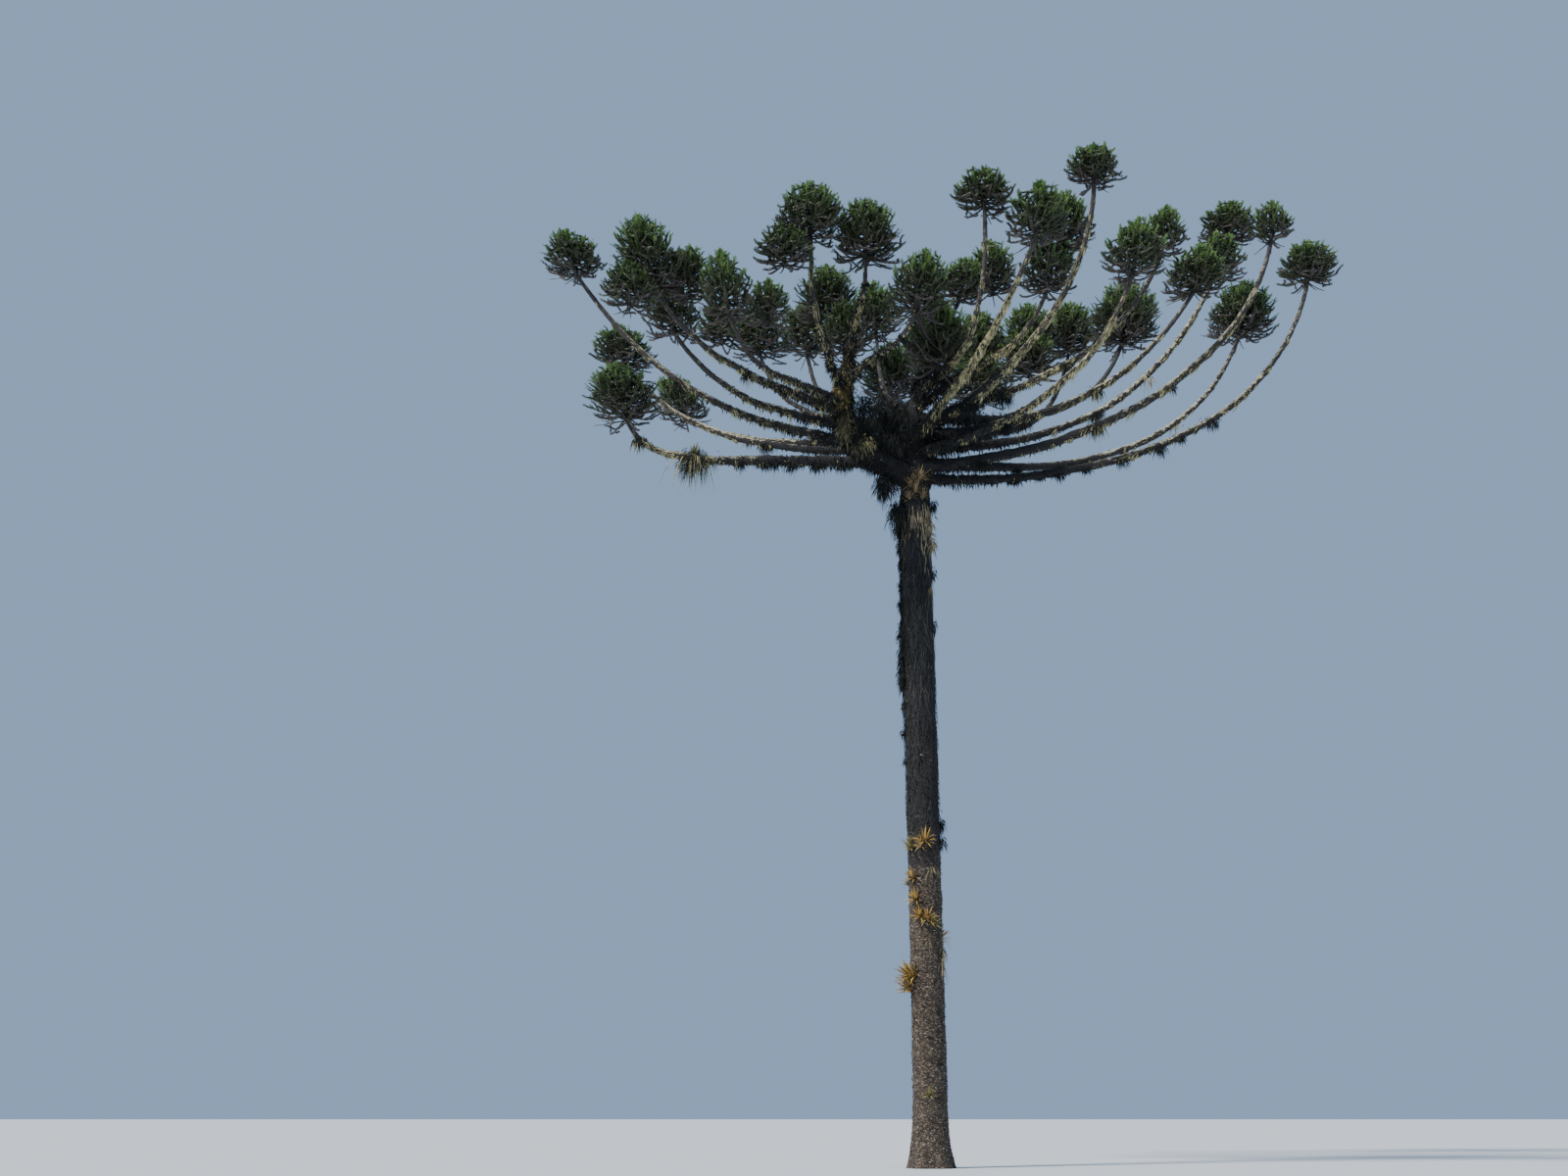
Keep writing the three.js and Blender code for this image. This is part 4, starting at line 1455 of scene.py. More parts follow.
    def _clothe(self, head: Head, shoots: Shoots, bare: Array, leaves: int, random: Random) -> None:
        """Sets the leaves on some shoots of a head.

        Args:
            head: The head.
            shoots: Control points, outward directions and heights of the shoots.
            bare: How much of each shoot's foot has no leaves.
            leaves: Leaves on a shoot.
            random: The head's stream of numbers.
        """
        controls, outward, rise = shoots
        count = len(controls)
        steps = (np.arange(leaves) + 0.5) / leaves
        place = bare + (0.99 - bare) * steps**0.9 + random.uniform(-0.006, 0.006, (count, leaves))
        spin = np.arange(leaves) * GOLDEN_TURN + random.uniform(0, math.tau, (count, 1))
        near_tip = np.clip((place - 0.9) / 0.1, 0, 1)
        scale = random.uniform(0.82, 1.14, (count, leaves)) * mix(1.0, 0.7, near_tip)
        corners = self._leaves(controls, outward, place, spin, scale)
        ages = self._ages(rise, place, head.green, random)
        for number, age in enumerate(Age):
            chosen = corners[ages == number]
            if len(chosen):
                self._pile(age, head.node, len(chosen)).add(chosen, np.arange(3 * len(chosen)))

    def dress(self, finishes: Mapping[Age, Finish], wood: Finish) -> None:
        """Grows every head and makes the pieces.

        Args:
            finishes: A material for each age of leaf.
            wood: The shoots' own bark.
        """
        for head in self.heads:
            self._grow(head)
        for age, piles in self.piles.items():
            for number, pile in enumerate(piles, 1):
                pile.make(f"leaves_{age.name.lower()}_{number}", finishes[age], "foliage", smooth=False)
        for number, pile in enumerate(self.twigs, 1):
            pile.make(f"shoots_{number}", wood, "foliage")


@dataclass
class Stems:
    """The stems inside the heads, the arms between them and a few dead twigs under each head."""

    heads: list[Head]
    rings: int = 14
    sides: int = 8
    end_radius: float = 0.001
    dead_twigs: int = 4

    def dress(self, bark: Finish) -> None:
        """Builds all stems and arms as one piece.

        Args:
            bark: The finish.
        """
        pile = Pile()
        for head in self.heads:
            for course, thick, thin in self._runs(head):
                share = np.linspace(0, 1, self.rings)
                rough = 1 + Grain(head.seed).relief(share, self.sides, STEM_RELIEF)
                radii = mix(thick, thin, share)[:, None] * rough
                radii[-1] = self.end_radius
                side = np.array([0.31, 0.95, 0.0])
                pile.add(*tube(course.point(share), course.tangent(share), side, radii))
        pile.make("stems_and_arms", bark, "bough_bark")

    def _runs(self, head: Head) -> list[tuple[Sweep, float, float]]:
        """The courses of a head's own wood, with their radii at both ends.

        Args:
            head: The head.

        Returns:
            Courses, each with its first and last radius.
        """
        runs = [(head.stem(), 0.042, 0.02)]
        if head.root is not None:
            runs.append((head.arm(), 0.034, 0.026))
        random = np.random.default_rng(head.seed + TWIG_SEEDS)
        for _ in range(self.dead_twigs):
            out = heading(random.uniform(0, 360), 0)
            root = head.at(out, 0.0, np.array(random.uniform(0.0, 0.1)))
            reach = head.width * random.uniform(0.22, 0.5)
            bend = root + out * reach * 0.6 - UP * random.uniform(0.04, 0.12)
            tip = root + out * reach - UP * random.uniform(-0.04, 0.16)
            runs.append((Sweep(root, bend, tip), 0.014, 0.006))
        return runs


@dataclass
class Coat:
    """What clothes the limbs: lichen in tufts and flecks, the flecks partly a painted highlight, dark moss
    over their feet, and a ragged shag.
    """

    boughs: list[Bough]
    trunk: Trunk
    tuft_spacing: float = 0.06
    strands: int = 14
    fronds: int = 760
    flaps_to_a_metre: int = 230
    bedding: float = 0.92
    height_weight: float = 1.6
    fork_level: float = 14.8
    tuft_shares: Span = (0.03, 0.95)
    tuft_lengths: Span = (0.040, 0.150)
    longest_tuft: float = 0.32
    flap_shares: Span = (0.01, 0.97)
    light: tuple[float, float, float] = (-0.5, -0.3, 0.8)
    random: Random = field(default_factory=lambda: np.random.default_rng(COAT_SEED))

    def _outwardness(self, places: Array, towards: float) -> Array:
        """How far places are from the crown's heart, where painted shade goes, more so high up and near the
        camera, on the front that the light falls on.
        """
        away = np.linalg.norm(places[:, :2], axis=1)
        return away + self.height_weight * (places[:, 2] - CROWN_LEVEL) - towards * places[:, 1]

    def _around(self, bough: Bough, share: Array, angle: Array) -> tuple[Array, Array, Array]:
        """Places on a bough's bark.

        Args:
            bough: The bough.
            share: Shares of its run.
            angle: Turn round it, 0 at its underside.

        Returns:
            Places, directions out of the bark, and directions along the bough.
        """
        centre, along = bough.line(share)
        across = square_to(bough.side, along)
        under = np.cross(along, across)
        under = np.where(under[:, 2:] > 0, -under, under)
        spoke = across * np.sin(angle)[:, None] + under * np.cos(angle)[:, None]
        return centre + spoke * (bough.radius(share) * self.bedding)[:, None], spoke, along

    def _tufts(self, pile: Pile, bough: Bough) -> None:
        """Hangs pale lichen, long where the bough is steep and short where it is level.

        Args:
            pile: Where they go.
            bough: The bough.
        """
        count = int(bough.length / self.tuft_spacing * bough.limb.beard)
        share = self.random.uniform(*self.tuft_shares, count)
        share = share[self.random.random(count) < bough.clothed(share)]
        # Painted shade: pale tufts thin out towards the crown's shaded heart.
        lit = self._outwardness(bough.line(share)[0], 1.5)
        share = share[self.random.random(len(share)) < np.interp(lit, [1.8, 4.4], [0.15, 1.0])]
        size = self.random.gamma(1.5, 0.55, len(share))
        own = np.repeat(share, self.strands)
        own = np.clip(own + self.random.normal(0, 0.035, len(own)) / bough.length, 0.01, 0.98)
        root, spoke, along = self._around(bough, own, self.random.normal(0, 1.25, len(own)))
        steep = np.abs(along[:, 2])
        length = np.repeat(size, self.strands) * self.random.uniform(0.4, 1.1, len(own))
        length = np.clip(length * mix(*self.tuft_lengths, steep**1.5) + 0.02, 0.02, self.longest_tuft)
        fall = np.array([0.0, 0.35, 0.7, 1.0])
        drift = spoke * 0.16 + self.random.normal(0, 0.16, (len(own), 3)) * (1, 1, 0.4)
        down = unit(mix(-UP, -along, np.minimum(1.25 * steep, 0.92)[:, None]))
        line = root[:, None] + down[:, None] * (length[:, None] * fall)[..., None]
        line = line + drift[:, None] * (length[:, None] * fall * (1.25 - fall))[..., None]
        flat = unit(self.random.normal(0, 1, (len(own), 3)) * (1, 1, 0.1))
        pile.add(*ribbons(line, (0.7, 1.0, 0.8, 0.0), flat, self.random.uniform(0.008, 0.021, len(own))))

    def _fronds(self, pile: Pile, root: Array, spoke: Array, length: Array) -> None:
        """Adds drooping moss fronds that spring from given places.

        Args:
            pile: Where they go.
            root: The places.
            spoke: Directions out of the bark.
            length: The fronds' lengths.
        """
        count = len(root)
        way = unit(spoke + self.random.normal(0, 0.45, (count, 3)))
        fall = np.array([0.0, 0.5, 1.0])
        run = way[:, None] * fall[:, None] - UP * (fall**2 * 0.55)[:, None]
        line = root[:, None] + run * length[:, None, None]
        flat = square_to(self.random.normal(0, 1, (count, 3)), way)
        pile.add(*ribbons(line, (0.9, 1.0, 0.0), flat, self.random.uniform(0.014, 0.034, count)))

    def _moss(self, pile: Pile, bough: Bough) -> None:
        """Wraps the foot of one bough in moss that thins out along it.

        Args:
            pile: Where it goes.
            bough: The bough.
        """
        count = int(self.fronds * bough.limb.moss)
        run = np.abs(self.random.normal(0, 0.5, count)) * 2.6 / bough.length
        share = np.clip(run, 0.005, 0.8)
        root, spoke, _ = self._around(bough, share, self.random.uniform(0, math.tau, count))
        length = self.random.uniform(0.03, 0.12, count)
        length = length * mix(1.2, 0.4, np.clip(share * bough.length / 3.2, 0, 1))
        self._fronds(pile, root, spoke, length)

    def _shag(self, dark: Pile, pale: Pile, bough: Bough) -> None:
        """Sets short broad flaps all round one bough: pale ones as a painted highlight mostly where it faces
        the light, and dark ones as painted shade mostly in the crown's heart.

        Args:
            dark: Takes the dark flaps.
            pale: Takes the pale ones.
            bough: The bough.
        """
        count = int(bough.length * self.flaps_to_a_metre)
        share = self.random.uniform(*self.flap_shares, count)
        share = share[self.random.random(count) < bough.clothed(share)]
        count = len(share)
        root, spoke, along = self._around(bough, share, self.random.uniform(0, math.tau, count))
        # Painted highlight and shade: pale flaps where the bough faces the key light and lies well outside
        # the heart, dark ones more often in the heart.
        lit = spoke @ unit(np.array(self.light)) + self.random.normal(0, 0.35, count)
        outer = self._outwardness(root, 0.8) + self.random.normal(0, 0.8, count)
        is_pale = (lit > 0.30) & (outer > 4.0) & (self.random.random(count) < 0.9 * bough.limb.beard)
        is_dark = ~is_pale & (self.random.random(count) < np.interp(outer, [3.0, 7.0], [1.0, 0.30]))
        lean = self.random.choice([-1.0, 1.0], (count, 1)) * np.where(is_pale, 2.2, 1.0)[:, None]
        lean = lean * self.random.uniform(0.6, 1.5, (count, 1))
        way = unit(spoke * self.random.uniform(0.12, 0.6, (count, 1)) + along * lean - UP * 0.15)
        length = np.where(is_pale, 1.7, 0.8) * self.random.uniform(0.025, 0.085, count)
        width = np.where(is_pale, 0.5, 0.7) * self.random.uniform(0.014, 0.036, count)
        line = root[:, None] + way[:, None] * (length[:, None] * FLAP_STEPS)[..., None]
        flat = square_to(np.cross(spoke, along) + self.random.normal(0, 0.4, (count, 3)), way)
        for pile, chosen in ((pale, is_pale), (dark, is_dark)):
            pile.add(*ribbons(line[chosen], (0.8, 1.0, 0.0), flat[chosen], width[chosen]))

    def _stem_moss(self, pile: Pile) -> None:
        """Wraps the trunk under and through the crown, and the fork.

        Args:
            pile: Where it goes.
        """
        for course, low, high, count, radius in (
            (self.trunk.course, 0.715, 0.835, 3600, lambda place, _: self.trunk.radius(place[:, 2])),
            (self.trunk.fork, 0.04, 0.98, 4600, lambda _, share: self.trunk.fork_radius(share)),
        ):
            share = self.random.uniform(low, high, count)
            centre, along = course.point(share), course.tangent(share)
            across = square_to(np.array([0.31, -0.95, 0.0]), along)
            turn = self.random.uniform(0, math.tau, count)[:, None]
            spoke = across * np.cos(turn) + np.cross(across, along) * np.sin(turn)
            root = centre + spoke * (radius(centre, share) * 0.95)[:, None]
            inner = np.exp(-(((centre[:, 2] - self.fork_level) / 0.5) ** 2))
            self._fronds(pile, root, spoke, self.random.uniform(0.04, 0.13, count) * (1 + 0.6 * inner))

    def dress(self, lichen: Finish, moss: Finish, shag: Finish) -> None:
        """Hangs the lichen, wraps the moss and sets the shag.

        Args:
            lichen: Finish of the hanging strands and pale flecks.
            moss: Finish of the dark fronds.
            shag: Finish of the dark flaps.
        """
        hanging, mossy, flecks, flaps = Pile(), Pile(), Pile(), Pile()
        for bough in self.boughs:
            self._tufts(hanging, bough)
            self._moss(mossy, bough)
            self._shag(flaps, flecks, bough)
        self._stem_moss(mossy)
        hanging.make("lichen_tufts", lichen, "bough_bark", smooth=False)
        flecks.make("lichen_flecks", lichen, "bough_bark", smooth=False)
        mossy.make("limb_moss", moss, "bough_bark", smooth=False)
        flaps.make("bough_shag", shag, "bough_bark", smooth=False)


class Straps(Enum):
    """How the strap leaves of a rosette have turned."""

    RIPE = "rosettes_orange"
    GREEN = "rosettes_yellow_green"
    WITHERED = "rosettes_withered"


@dataclass(frozen=True)
class Rosette:
    """A rosette: its height on the trunk or share of the fork, its bearing, its size and its leaves."""

    place: float
    bearing: float
    size: float
    straps: Straps


RIPE, GREEN, WITHERED = Straps.RIPE, Straps.GREEN, Straps.WITHERED
TRUNK_ROSETTES = [Rosette(*row) for row in (
    (6.14, 268, 0.36, RIPE), (6.02, 214, 0.36, GREEN), (5.42, 222, 0.32, RIPE),
    (5.00, 232, 0.32, RIPE), (4.62, 268, 0.36, RIPE), (5.34, 168, 0.22, GREEN),
    (3.52, 186, 0.50, RIPE), (3.34, 198, 0.46, RIPE), (3.28, 178, 0.48, RIPE),
    (3.54, 214, 0.42, RIPE), (1.32, 262, 0.20, GREEN), (9.4, 60, 0.3, RIPE),
    (7.2, 110, 0.32, GREEN), (4.3, 35, 0.34, RIPE), (2.6, 85, 0.28, GREEN),
    (11.2, 320, 0.22, WITHERED), (13.60, 262, 0.36, WITHERED),
    (13.62, 285, 0.38, WITHERED), (13.48, 250, 0.38, WITHERED),
    (13.66, 238, 0.32, WITHERED), (13.34, 270, 0.35, WITHERED),
    (13.22, 296, 0.30, WITHERED), (13.20, 246, 0.30, WITHERED),
    (6.05, 255, 0.26, RIPE), (4.68, 244, 0.30, RIPE), (4.54, 290, 0.26, GREEN),
)]
FORK_ROSETTES = [Rosette(*row) for row in (
    (0.50, 250, 0.18, WITHERED), (0.57, 215, 0.20, RIPE), (0.62, 285, 0.18, GREEN),
    (0.68, 240, 0.20, WITHERED), (0.60, 300, 0.18, GREEN), (0.74, 190, 0.20, RIPE),
    (0.78, 265, 0.18, GREEN), (0.84, 225, 0.16, GREEN), (0.9, 60, 0.22, GREEN),
)]
STRAP_MIX = {
    RIPE: ((RIPE, 22, 0.60), (WITHERED, 18, 0.55), (GREEN, 6, 0.60)),
    GREEN: ((GREEN, 24, 0.60), (WITHERED, 8, 0.55)),
    WITHERED: ((WITHERED, 40, 0.28), (GREEN, 4, 0.40)),
}


@dataclass(frozen=True)
class Clump:
    """A shaggy clump: its middle, how far it spreads each way, its strands and their length."""

    place: Sequence[float]
    spread: Sequence[float]
    strands: int
    length: float


DARK_CLUMPS = [Clump(*row) for row in (
    ((-0.62, -0.3, 13.62), (0.14, 0.14, 0.16), 260, 0.32),
    ((-0.78, -0.42, 13.46), (0.12, 0.13, 0.26), 630, 0.17),
    ((-0.46, -0.16, 13.00), (0.13, 0.15, 0.20), 520, 0.24),
    ((-0.42, 0.05, 12.68), (0.09, 0.12, 0.14), 220, 0.20),
    ((-0.40, -0.05, 10.62), (0.05, 0.09, 0.10), 120, 0.12),
    ((-0.40, -0.05, 10.15), (0.05, 0.09, 0.12), 160, 0.12),
    ((-0.41, -0.03, 9.78), (0.06, 0.09, 0.12), 180, 0.12),
    ((-0.41, 0.0, 9.38), (0.05, 0.09, 0.10), 140, 0.12),
    ((-0.40, 0.0, 8.40), (0.04, 0.08, 0.08), 80, 0.10),
    ((-0.41, -0.04, 10.40), (0.05, 0.10, 0.20), 220, 0.14),
    ((-0.42, -0.04, 9.98), (0.05, 0.10, 0.18), 220, 0.14),
    ((-0.42, -0.03, 9.58), (0.06, 0.10, 0.16), 240, 0.15),
    ((-0.40, 0.0, 12.30), (0.06, 0.10, 0.16), 170, 0.14),
    ((-0.39, -0.03, 11.90), (0.05, 0.10, 0.14), 130, 0.12),
    ((-0.39, 0.02, 11.45), (0.05, 0.10, 0.14), 140, 0.12),
    ((-0.40, -0.05, 11.05), (0.05, 0.10, 0.16), 150, 0.13),
    ((-0.38, -0.04, 8.95), (0.04, 0.08, 0.12), 90, 0.10),
    ((-0.36, -0.02, 7.80), (0.04, 0.08, 0.12), 80, 0.10),
    ((0.26, -0.04, 11.70), (0.04, 0.08, 0.14), 80, 0.11),
    ((0.27, -0.04, 10.60), (0.04, 0.08, 0.12), 70, 0.10),
    ((0.27, -0.08, 13.15), (0.05, 0.08, 0.10), 120, 0.16),
    ((0.30, 0.05, 6.55), (0.07, 0.10, 0.14), 180, 0.16),
    ((0.32, -0.05, 6.2), (0.06, 0.10, 0.10), 120, 0.16),
    ((0.18, -0.28, 2.90), (0.06, 0.03, 0.06), 80, 0.06),
    ((0.17, -0.30, 1.94), (0.06, 0.03, 0.07), 80, 0.06),
    ((-0.03, -0.35, 2.43), (0.03, 0.02, 0.03), 30, 0.04),
    ((-0.80, -0.35, 14.35), (0.50, 0.30, 0.26), 1350, 0.21),
    ((-0.30, -0.15, 14.75), (0.36, 0.34, 0.30), 1050, 0.22),
    ((-1.25, -0.40, 14.65), (0.26, 0.26, 0.30), 750, 0.19),
    ((-1.15, -0.45, 15.20), (0.18, 0.18, 0.30), 540, 0.17),
    ((-0.20, 0.05, 15.15), (0.22, 0.22, 0.28), 520, 0.19),
    ((-0.80, 0.12, 15.38), (0.26, 0.24, 0.28), 700, 0.19),
    ((0.55, 0.30, 14.80), (0.50, 0.30, 0.26), 900, 0.19),
    ((-0.60, 0.60, 14.90), (0.44, 0.36, 0.36), 1050, 0.21),
    ((0.45, 0.75, 14.90), (0.50, 0.36, 0.34), 950, 0.21),
)]
OCHRE_CLUMPS = [Clump(*row) for row in (
    ((-1.64, -1.05, 15.30), (0.14, 0.10, 0.24), 780, 0.08),
    ((-1.70, -1.06, 15.02), (0.13, 0.10, 0.10), 300, 0.08),
)]
OLIVE_CLUMPS = [Clump(*row) for row in (
    ((-1.58, -1.00, 14.62), (0.16, 0.10, 0.36), 1140, 0.09),
    ((-1.20, -0.84, 14.20), (0.22, 0.12, 0.16), 630, 0.10),
    ((-1.50, -0.94, 15.66), (0.13, 0.10, 0.26), 690, 0.08),
    ((-1.62, -0.96, 15.22), (0.16, 0.10, 0.34), 840, 0.08),
    ((-1.42, -0.90, 16.05), (0.10, 0.10, 0.20), 390, 0.07),
)]
STRAW_CLUMPS = [Clump(*row) for row in (
    ((0.23, -0.16, 12.34), (0.05, 0.12, 0.16), 110, 0.22),
    ((0.18, -0.23, 12.74), (0.08, 0.06, 0.18), 90, 0.20),
    ((-0.02, -0.33, 4.20), (0.03, 0.02, 0.10), 34, 0.25),
    ((0.26, -0.20, 3.95), (0.03, 0.05, 0.34), 80, 0.26),
    ((0.10, -0.31, 5.62), (0.05, 0.03, 0.10), 44, 0.27),
)]
CLUMPS = {
    "fern_clumps": DARK_CLUMPS,
    "ochre_moss": OCHRE_CLUMPS,
    "olive_moss": OLIVE_CLUMPS,
    "trunk_straw": STRAW_CLUMPS,
}


@dataclass(frozen=True)
class Growth:
    """A clump on a bough: a lump of fern hanging from it, a pale beard, or both under a rosette."""

    limb: str
    share: float
    size: float
    lump: bool = True
    beard: bool = False
    rosette: bool = False


def lumps(limb: str, *places: Span) -> list[Growth]:
    """Lumps of fern on one bough, each with its share of the run and its size."""
    return [Growth(limb, share, size) for share, size in places]


GROWTHS = (
    Growth("19", 0.522, 0.32, beard=True, rosette=True), Growth("19", 0.865, 0.15, beard=True),
    Growth("19", 0.30, 0.13), Growth("20", 0.66, 0.12, beard=True), Growth("18", 0.40, 0.14),
    *lumps("01", (0.168, 0.11), (0.215, 0.08), (0.247, 0.11), (0.30, 0.10), (0.372, 0.12), (0.453, 0.15)),
    *lumps("01", (0.505, 0.11), (0.58, 0.15)),
    *lumps("02", (0.203, 0.12), (0.31, 0.15), (0.36, 0.13), (0.49, 0.10)),
    Growth("03", 0.125, 0.16), Growth("03", 0.372, 0.15, beard=True), Growth("03", 0.56, 0.10),
    Growth("04", 0.40, 0.16), Growth("04", 0.56, 0.16, lump=False, beard=True),
    Growth("05", 0.532, 0.14, beard=True), Growth("06", 0.50, 0.13),
    Growth("02", 0.66, 0.13, lump=False, beard=True), Growth("14", 0.52, 0.12),
    Growth("16", 0.45, 0.12, beard=True), Growth("21", 0.35, 0.22), Growth("22", 0.25, 0.22),
    *lumps("23", (0.30, 0.24), (0.44, 0.24), (0.58, 0.20)), *lumps("22", (0.10, 0.26), (0.17, 0.26)),
    Growth("24", 0.35, 0.24), Growth("25", 0.16, 0.20), Growth("26", 0.20, 0.20),
    *lumps("25", (0.23, 0.26), (0.30, 0.24), (0.37, 0.20)), *lumps("05", (0.15, 0.20), (0.23, 0.18)),
    Growth("06", 0.27, 0.18), Growth("24", 0.22, 0.24), Growth("26", 0.30, 0.20),
    *lumps("20", (0.12, 0.18), (0.18, 0.18), (0.24, 0.17), (0.30, 0.17), (0.37, 0.15)),
    *lumps("19", (0.07, 0.16), (0.12, 0.15), (0.17, 0.15), (0.23, 0.14), (0.27, 0.13), (0.36, 0.12)),
    Growth("10", 0.22, 0.20), Growth("27", 0.22, 0.20), Growth("06", 0.16, 0.20), Growth("08", 0.20, 0.20),
)


@dataclass(frozen=True)
class Streak:
    """Strands down the upper trunk: their piece, number, depth of spread, width and range of bearings."""

    kind: str
    count: int
    depth: float
    wide: float
    arc: Span


@dataclass(frozen=True)
class Fringe:
    """Thin strands round a length of the trunk: their piece, number, places, lengths and width."""

    kind: str
    count: int
    heights: Span
    lengths: Span
    wide: float


STREAKS = (
    Streak("trunk_straw", 150, 0.30, 0.010, (275, 395)),
    Streak("trunk_straw", 190, 0.26, 0.009, (35, 275)),
    Streak("fern_clumps", 900, 2.0, 0.008, (0, 360)),
)
FRINGES = (
    Fringe("fern_clumps", 2600, (6.4, 13.6), (0.03, 0.11), 0.016),
    Fringe("trunk_grey", 1000, (8.6, 13.4), (0.10, 0.42), 0.006),
    Fringe("trunk_grey", 220, (6.0, 8.6), (0.08, 0.30), 0.005),
    Fringe("trunk_grey", 500, (1.0, 7.0), (0.05, 0.20), 0.005),
    Fringe("trunk_runs", 460, (9.2, 12.9), (0.12, 0.52), 0.007),
    Fringe("trunk_runs", 120, (6.2, 9.2), (0.08, 0.30), 0.006),
)
BARK_LIKE = ("trunk_straw", "bough_beards", "trunk_grey", "trunk_runs")
SLOTS = {"bark_flakes": "trunk_bark", **dict.fromkeys(BARK_LIKE, "bough_bark")}


@dataclass
class Epiphytes:
    """What grows on the trunk and boughs: rosettes, ferny clumps, lichen streaks and bark flakes."""

    trunk: Trunk
    boughs: dict[str, Bough]
    trunk_bedding: float = 0.96
    fork_bedding: float = 0.9
    fork_leaves: int = 26
    fork_fineness: float = 0.7
    bough_leaves: int = 30
    lump_strands: float = 1500
    beard_strands: float = 340
    streak_top: float = 13.15
    streak_foot: float = 7.0
    streak_base: float = 6.0
    broadening: float = 18.2
    flakes: int = 5200
    flake_heights: Span = (0.05, 13.4)
    axis_top: float = 14.0
    raised: float = 0.004
    set_in: float = 0.002
    random: Random = field(default_factory=lambda: np.random.default_rng(EPIPHYTE_SEED))

    def _axis(self, height: Array, low: float = 0.02) -> Array:
        """The trunk's middle at given heights, from steps that begin at the low one.

        Args:
            height: The heights.
            low: The lowest step.

        Returns:
            The places.
        """
        steps = np.linspace(low, self.axis_top, LINE_STEPS)
        centre = np.array([self.trunk.course.at_height(step) for step in steps])
        across = [np.interp(height, centre[:, 2], centre[:, k]) for k in range(2)]
        return np.stack([*across, height], axis=1)

    def _on_trunk(self, height: float, bearing: float) -> tuple[Array, Array]:
        """A place on the trunk's bark and the direction out of it."""
        centre, out = self.trunk.course.at_height(height), heading(bearing, 0)
        return centre + out * float(self.trunk.radius(np.array(height))) * self.trunk_bedding, out

    def _rosette(
        self, pile: Pile, place: Array, out: Array, size: float, count: int, fine: float = 1.0
    ) -> None:
        """Adds arching strap leaves round one heart.

        Args:
            pile: Where they go.
            place: The heart.
            out: The way it faces.
            size: The leaves' length.
            count: How many leaves.
            fine: Their breadth, as a share of the usual.
        """
        axis = unit(np.asarray(out, float) * 0.6 + UP)
        ring = np.arange(count) * GOLDEN_TURN
        open_by = mix(0.15, 1.10, (np.arange(count) + 0.5) / count)
        first = square_to(np.array([0.3, 0.2, 0.93]), axis)
        spoke = first * np.cos(ring)[:, None] + np.cross(axis, first) * np.sin(ring)[:, None]
        length = size * self.random.uniform(0.75, 1.15, count)
        fall = np.linspace(0, 1, 5)
        rise = np.cos(open_by)[:, None] * fall
        reach = np.sin(open_by)[:, None] * fall
        sag = open_by[:, None] * fall**2 * 0.45
        arch = axis * rise[..., None] + spoke[:, None] * reach[..., None] - UP * sag[..., None]
        width = fine * size * self.random.uniform(0.12, 0.19, count)
        line = place + arch * length[:, None, None]
        pile.add(*ribbons(line, (0.7, 1.0, 0.85, 0.5, 0.0), np.cross(axis, spoke), width))

    def _clump(self, pile: Pile, clump: Clump) -> None:
        """Adds a shaggy clump of drooping fronds.

        Args:
            pile: Where it goes.
            clump: The clump.
        """
        strands, place, spread = clump.strands, np.array(clump.place), np.array(clump.spread)
        root = place + self.random.normal(0, 1, (strands, 3)) * spread * 0.5
        out = unit((root - place) / spread + self.random.normal(0, 0.5, (strands, 3)))
        fall = np.linspace(0, 1, 4)
        length = clump.length * self.random.uniform(0.45, 1.15, strands)
        arch = out[:, None] * (fall * 0.55)[:, None] - UP * (fall**2 * 0.95)[:, None]
        line = root[:, None] + arch * length[:, None, None]
        flat = unit(self.random.normal(0, 1, (strands, 3)))
        pile.add(*ribbons(line, (0.8, 1.0, 0.7, 0.0), flat, self.random.uniform(0.01, 0.026, strands)))

    def _on_boughs(self, dark: Pile, pale: Pile, yellow: Pile) -> None:
        """Adds the clumps on the boughs.

        Args:
            dark: Takes the lumps.
            pale: Takes the beards.
            yellow: Takes the rosette.
        """
        for growth in GROWTHS:
            bough, size = self.boughs[growth.limb], growth.size
            share = np.array([growth.share])
            centre = bough.line(share)[0][0]
            under = centre - UP * float(bough.radius(share)[0]) * 0.5
            if growth.lump:
                spread = np.array([0.9, 0.6, 0.6]) * size
                self._clump(dark, Clump(under, spread, int(self.lump_strands * size), 1.1 * size))
            if growth.beard:
                spread = np.array([0.9, 0.4, 0.3]) * size
                self._clump(pale, Clump(under, spread, int(self.beard_strands * size), 1.8 * size))
            if growth.rosette:
                heart, out = centre + UP * 0.04, -heading(90, 0) * 0.4
                self._rosette(yellow, heart, out, size, self.bough_leaves)

    def _streak(self, pile: Pile, streak: Streak) -> None:
        """Adds strands that lie down the upper trunk, a little broader the higher they are.

        Args:
            pile: Where they go.
            streak: The strands' description.
        """
        height = self.streak_top - self.random.gamma(1.5, streak.depth, streak.count)
        height = height[height > self.streak_foot]
        count = len(height)
        out = level_way(np.radians(self.random.uniform(*streak.arc, count)))
        sideways = quarter_on(out)
        root = self._axis(height, self.streak_base) + out * (self.trunk.radius(height)[:, None] + self.raised)
        fall = np.linspace(0, 1, 4)
        length = self.random.uniform(0.12, 0.44, count)
        lift = out[:, None] * (0.012 + 0.03 * fall * (1.3 - fall))[:, None]
        slope = self.random.normal(0, 0.16, (count, 1)) * fall
        slant = sideways[:, None] * slope[..., None] * length[:, None, None]
        line = root[:, None] + lift - UP * (length[:, None] * fall)[..., None] + slant
        width = streak.wide * self.random.uniform(0.5, 1.4, count) * (1 + height / self.broadening)
        pile.add(*ribbons(line, (0.5, 1.0, 0.8, 0.0), sideways + out * 0.5, width))

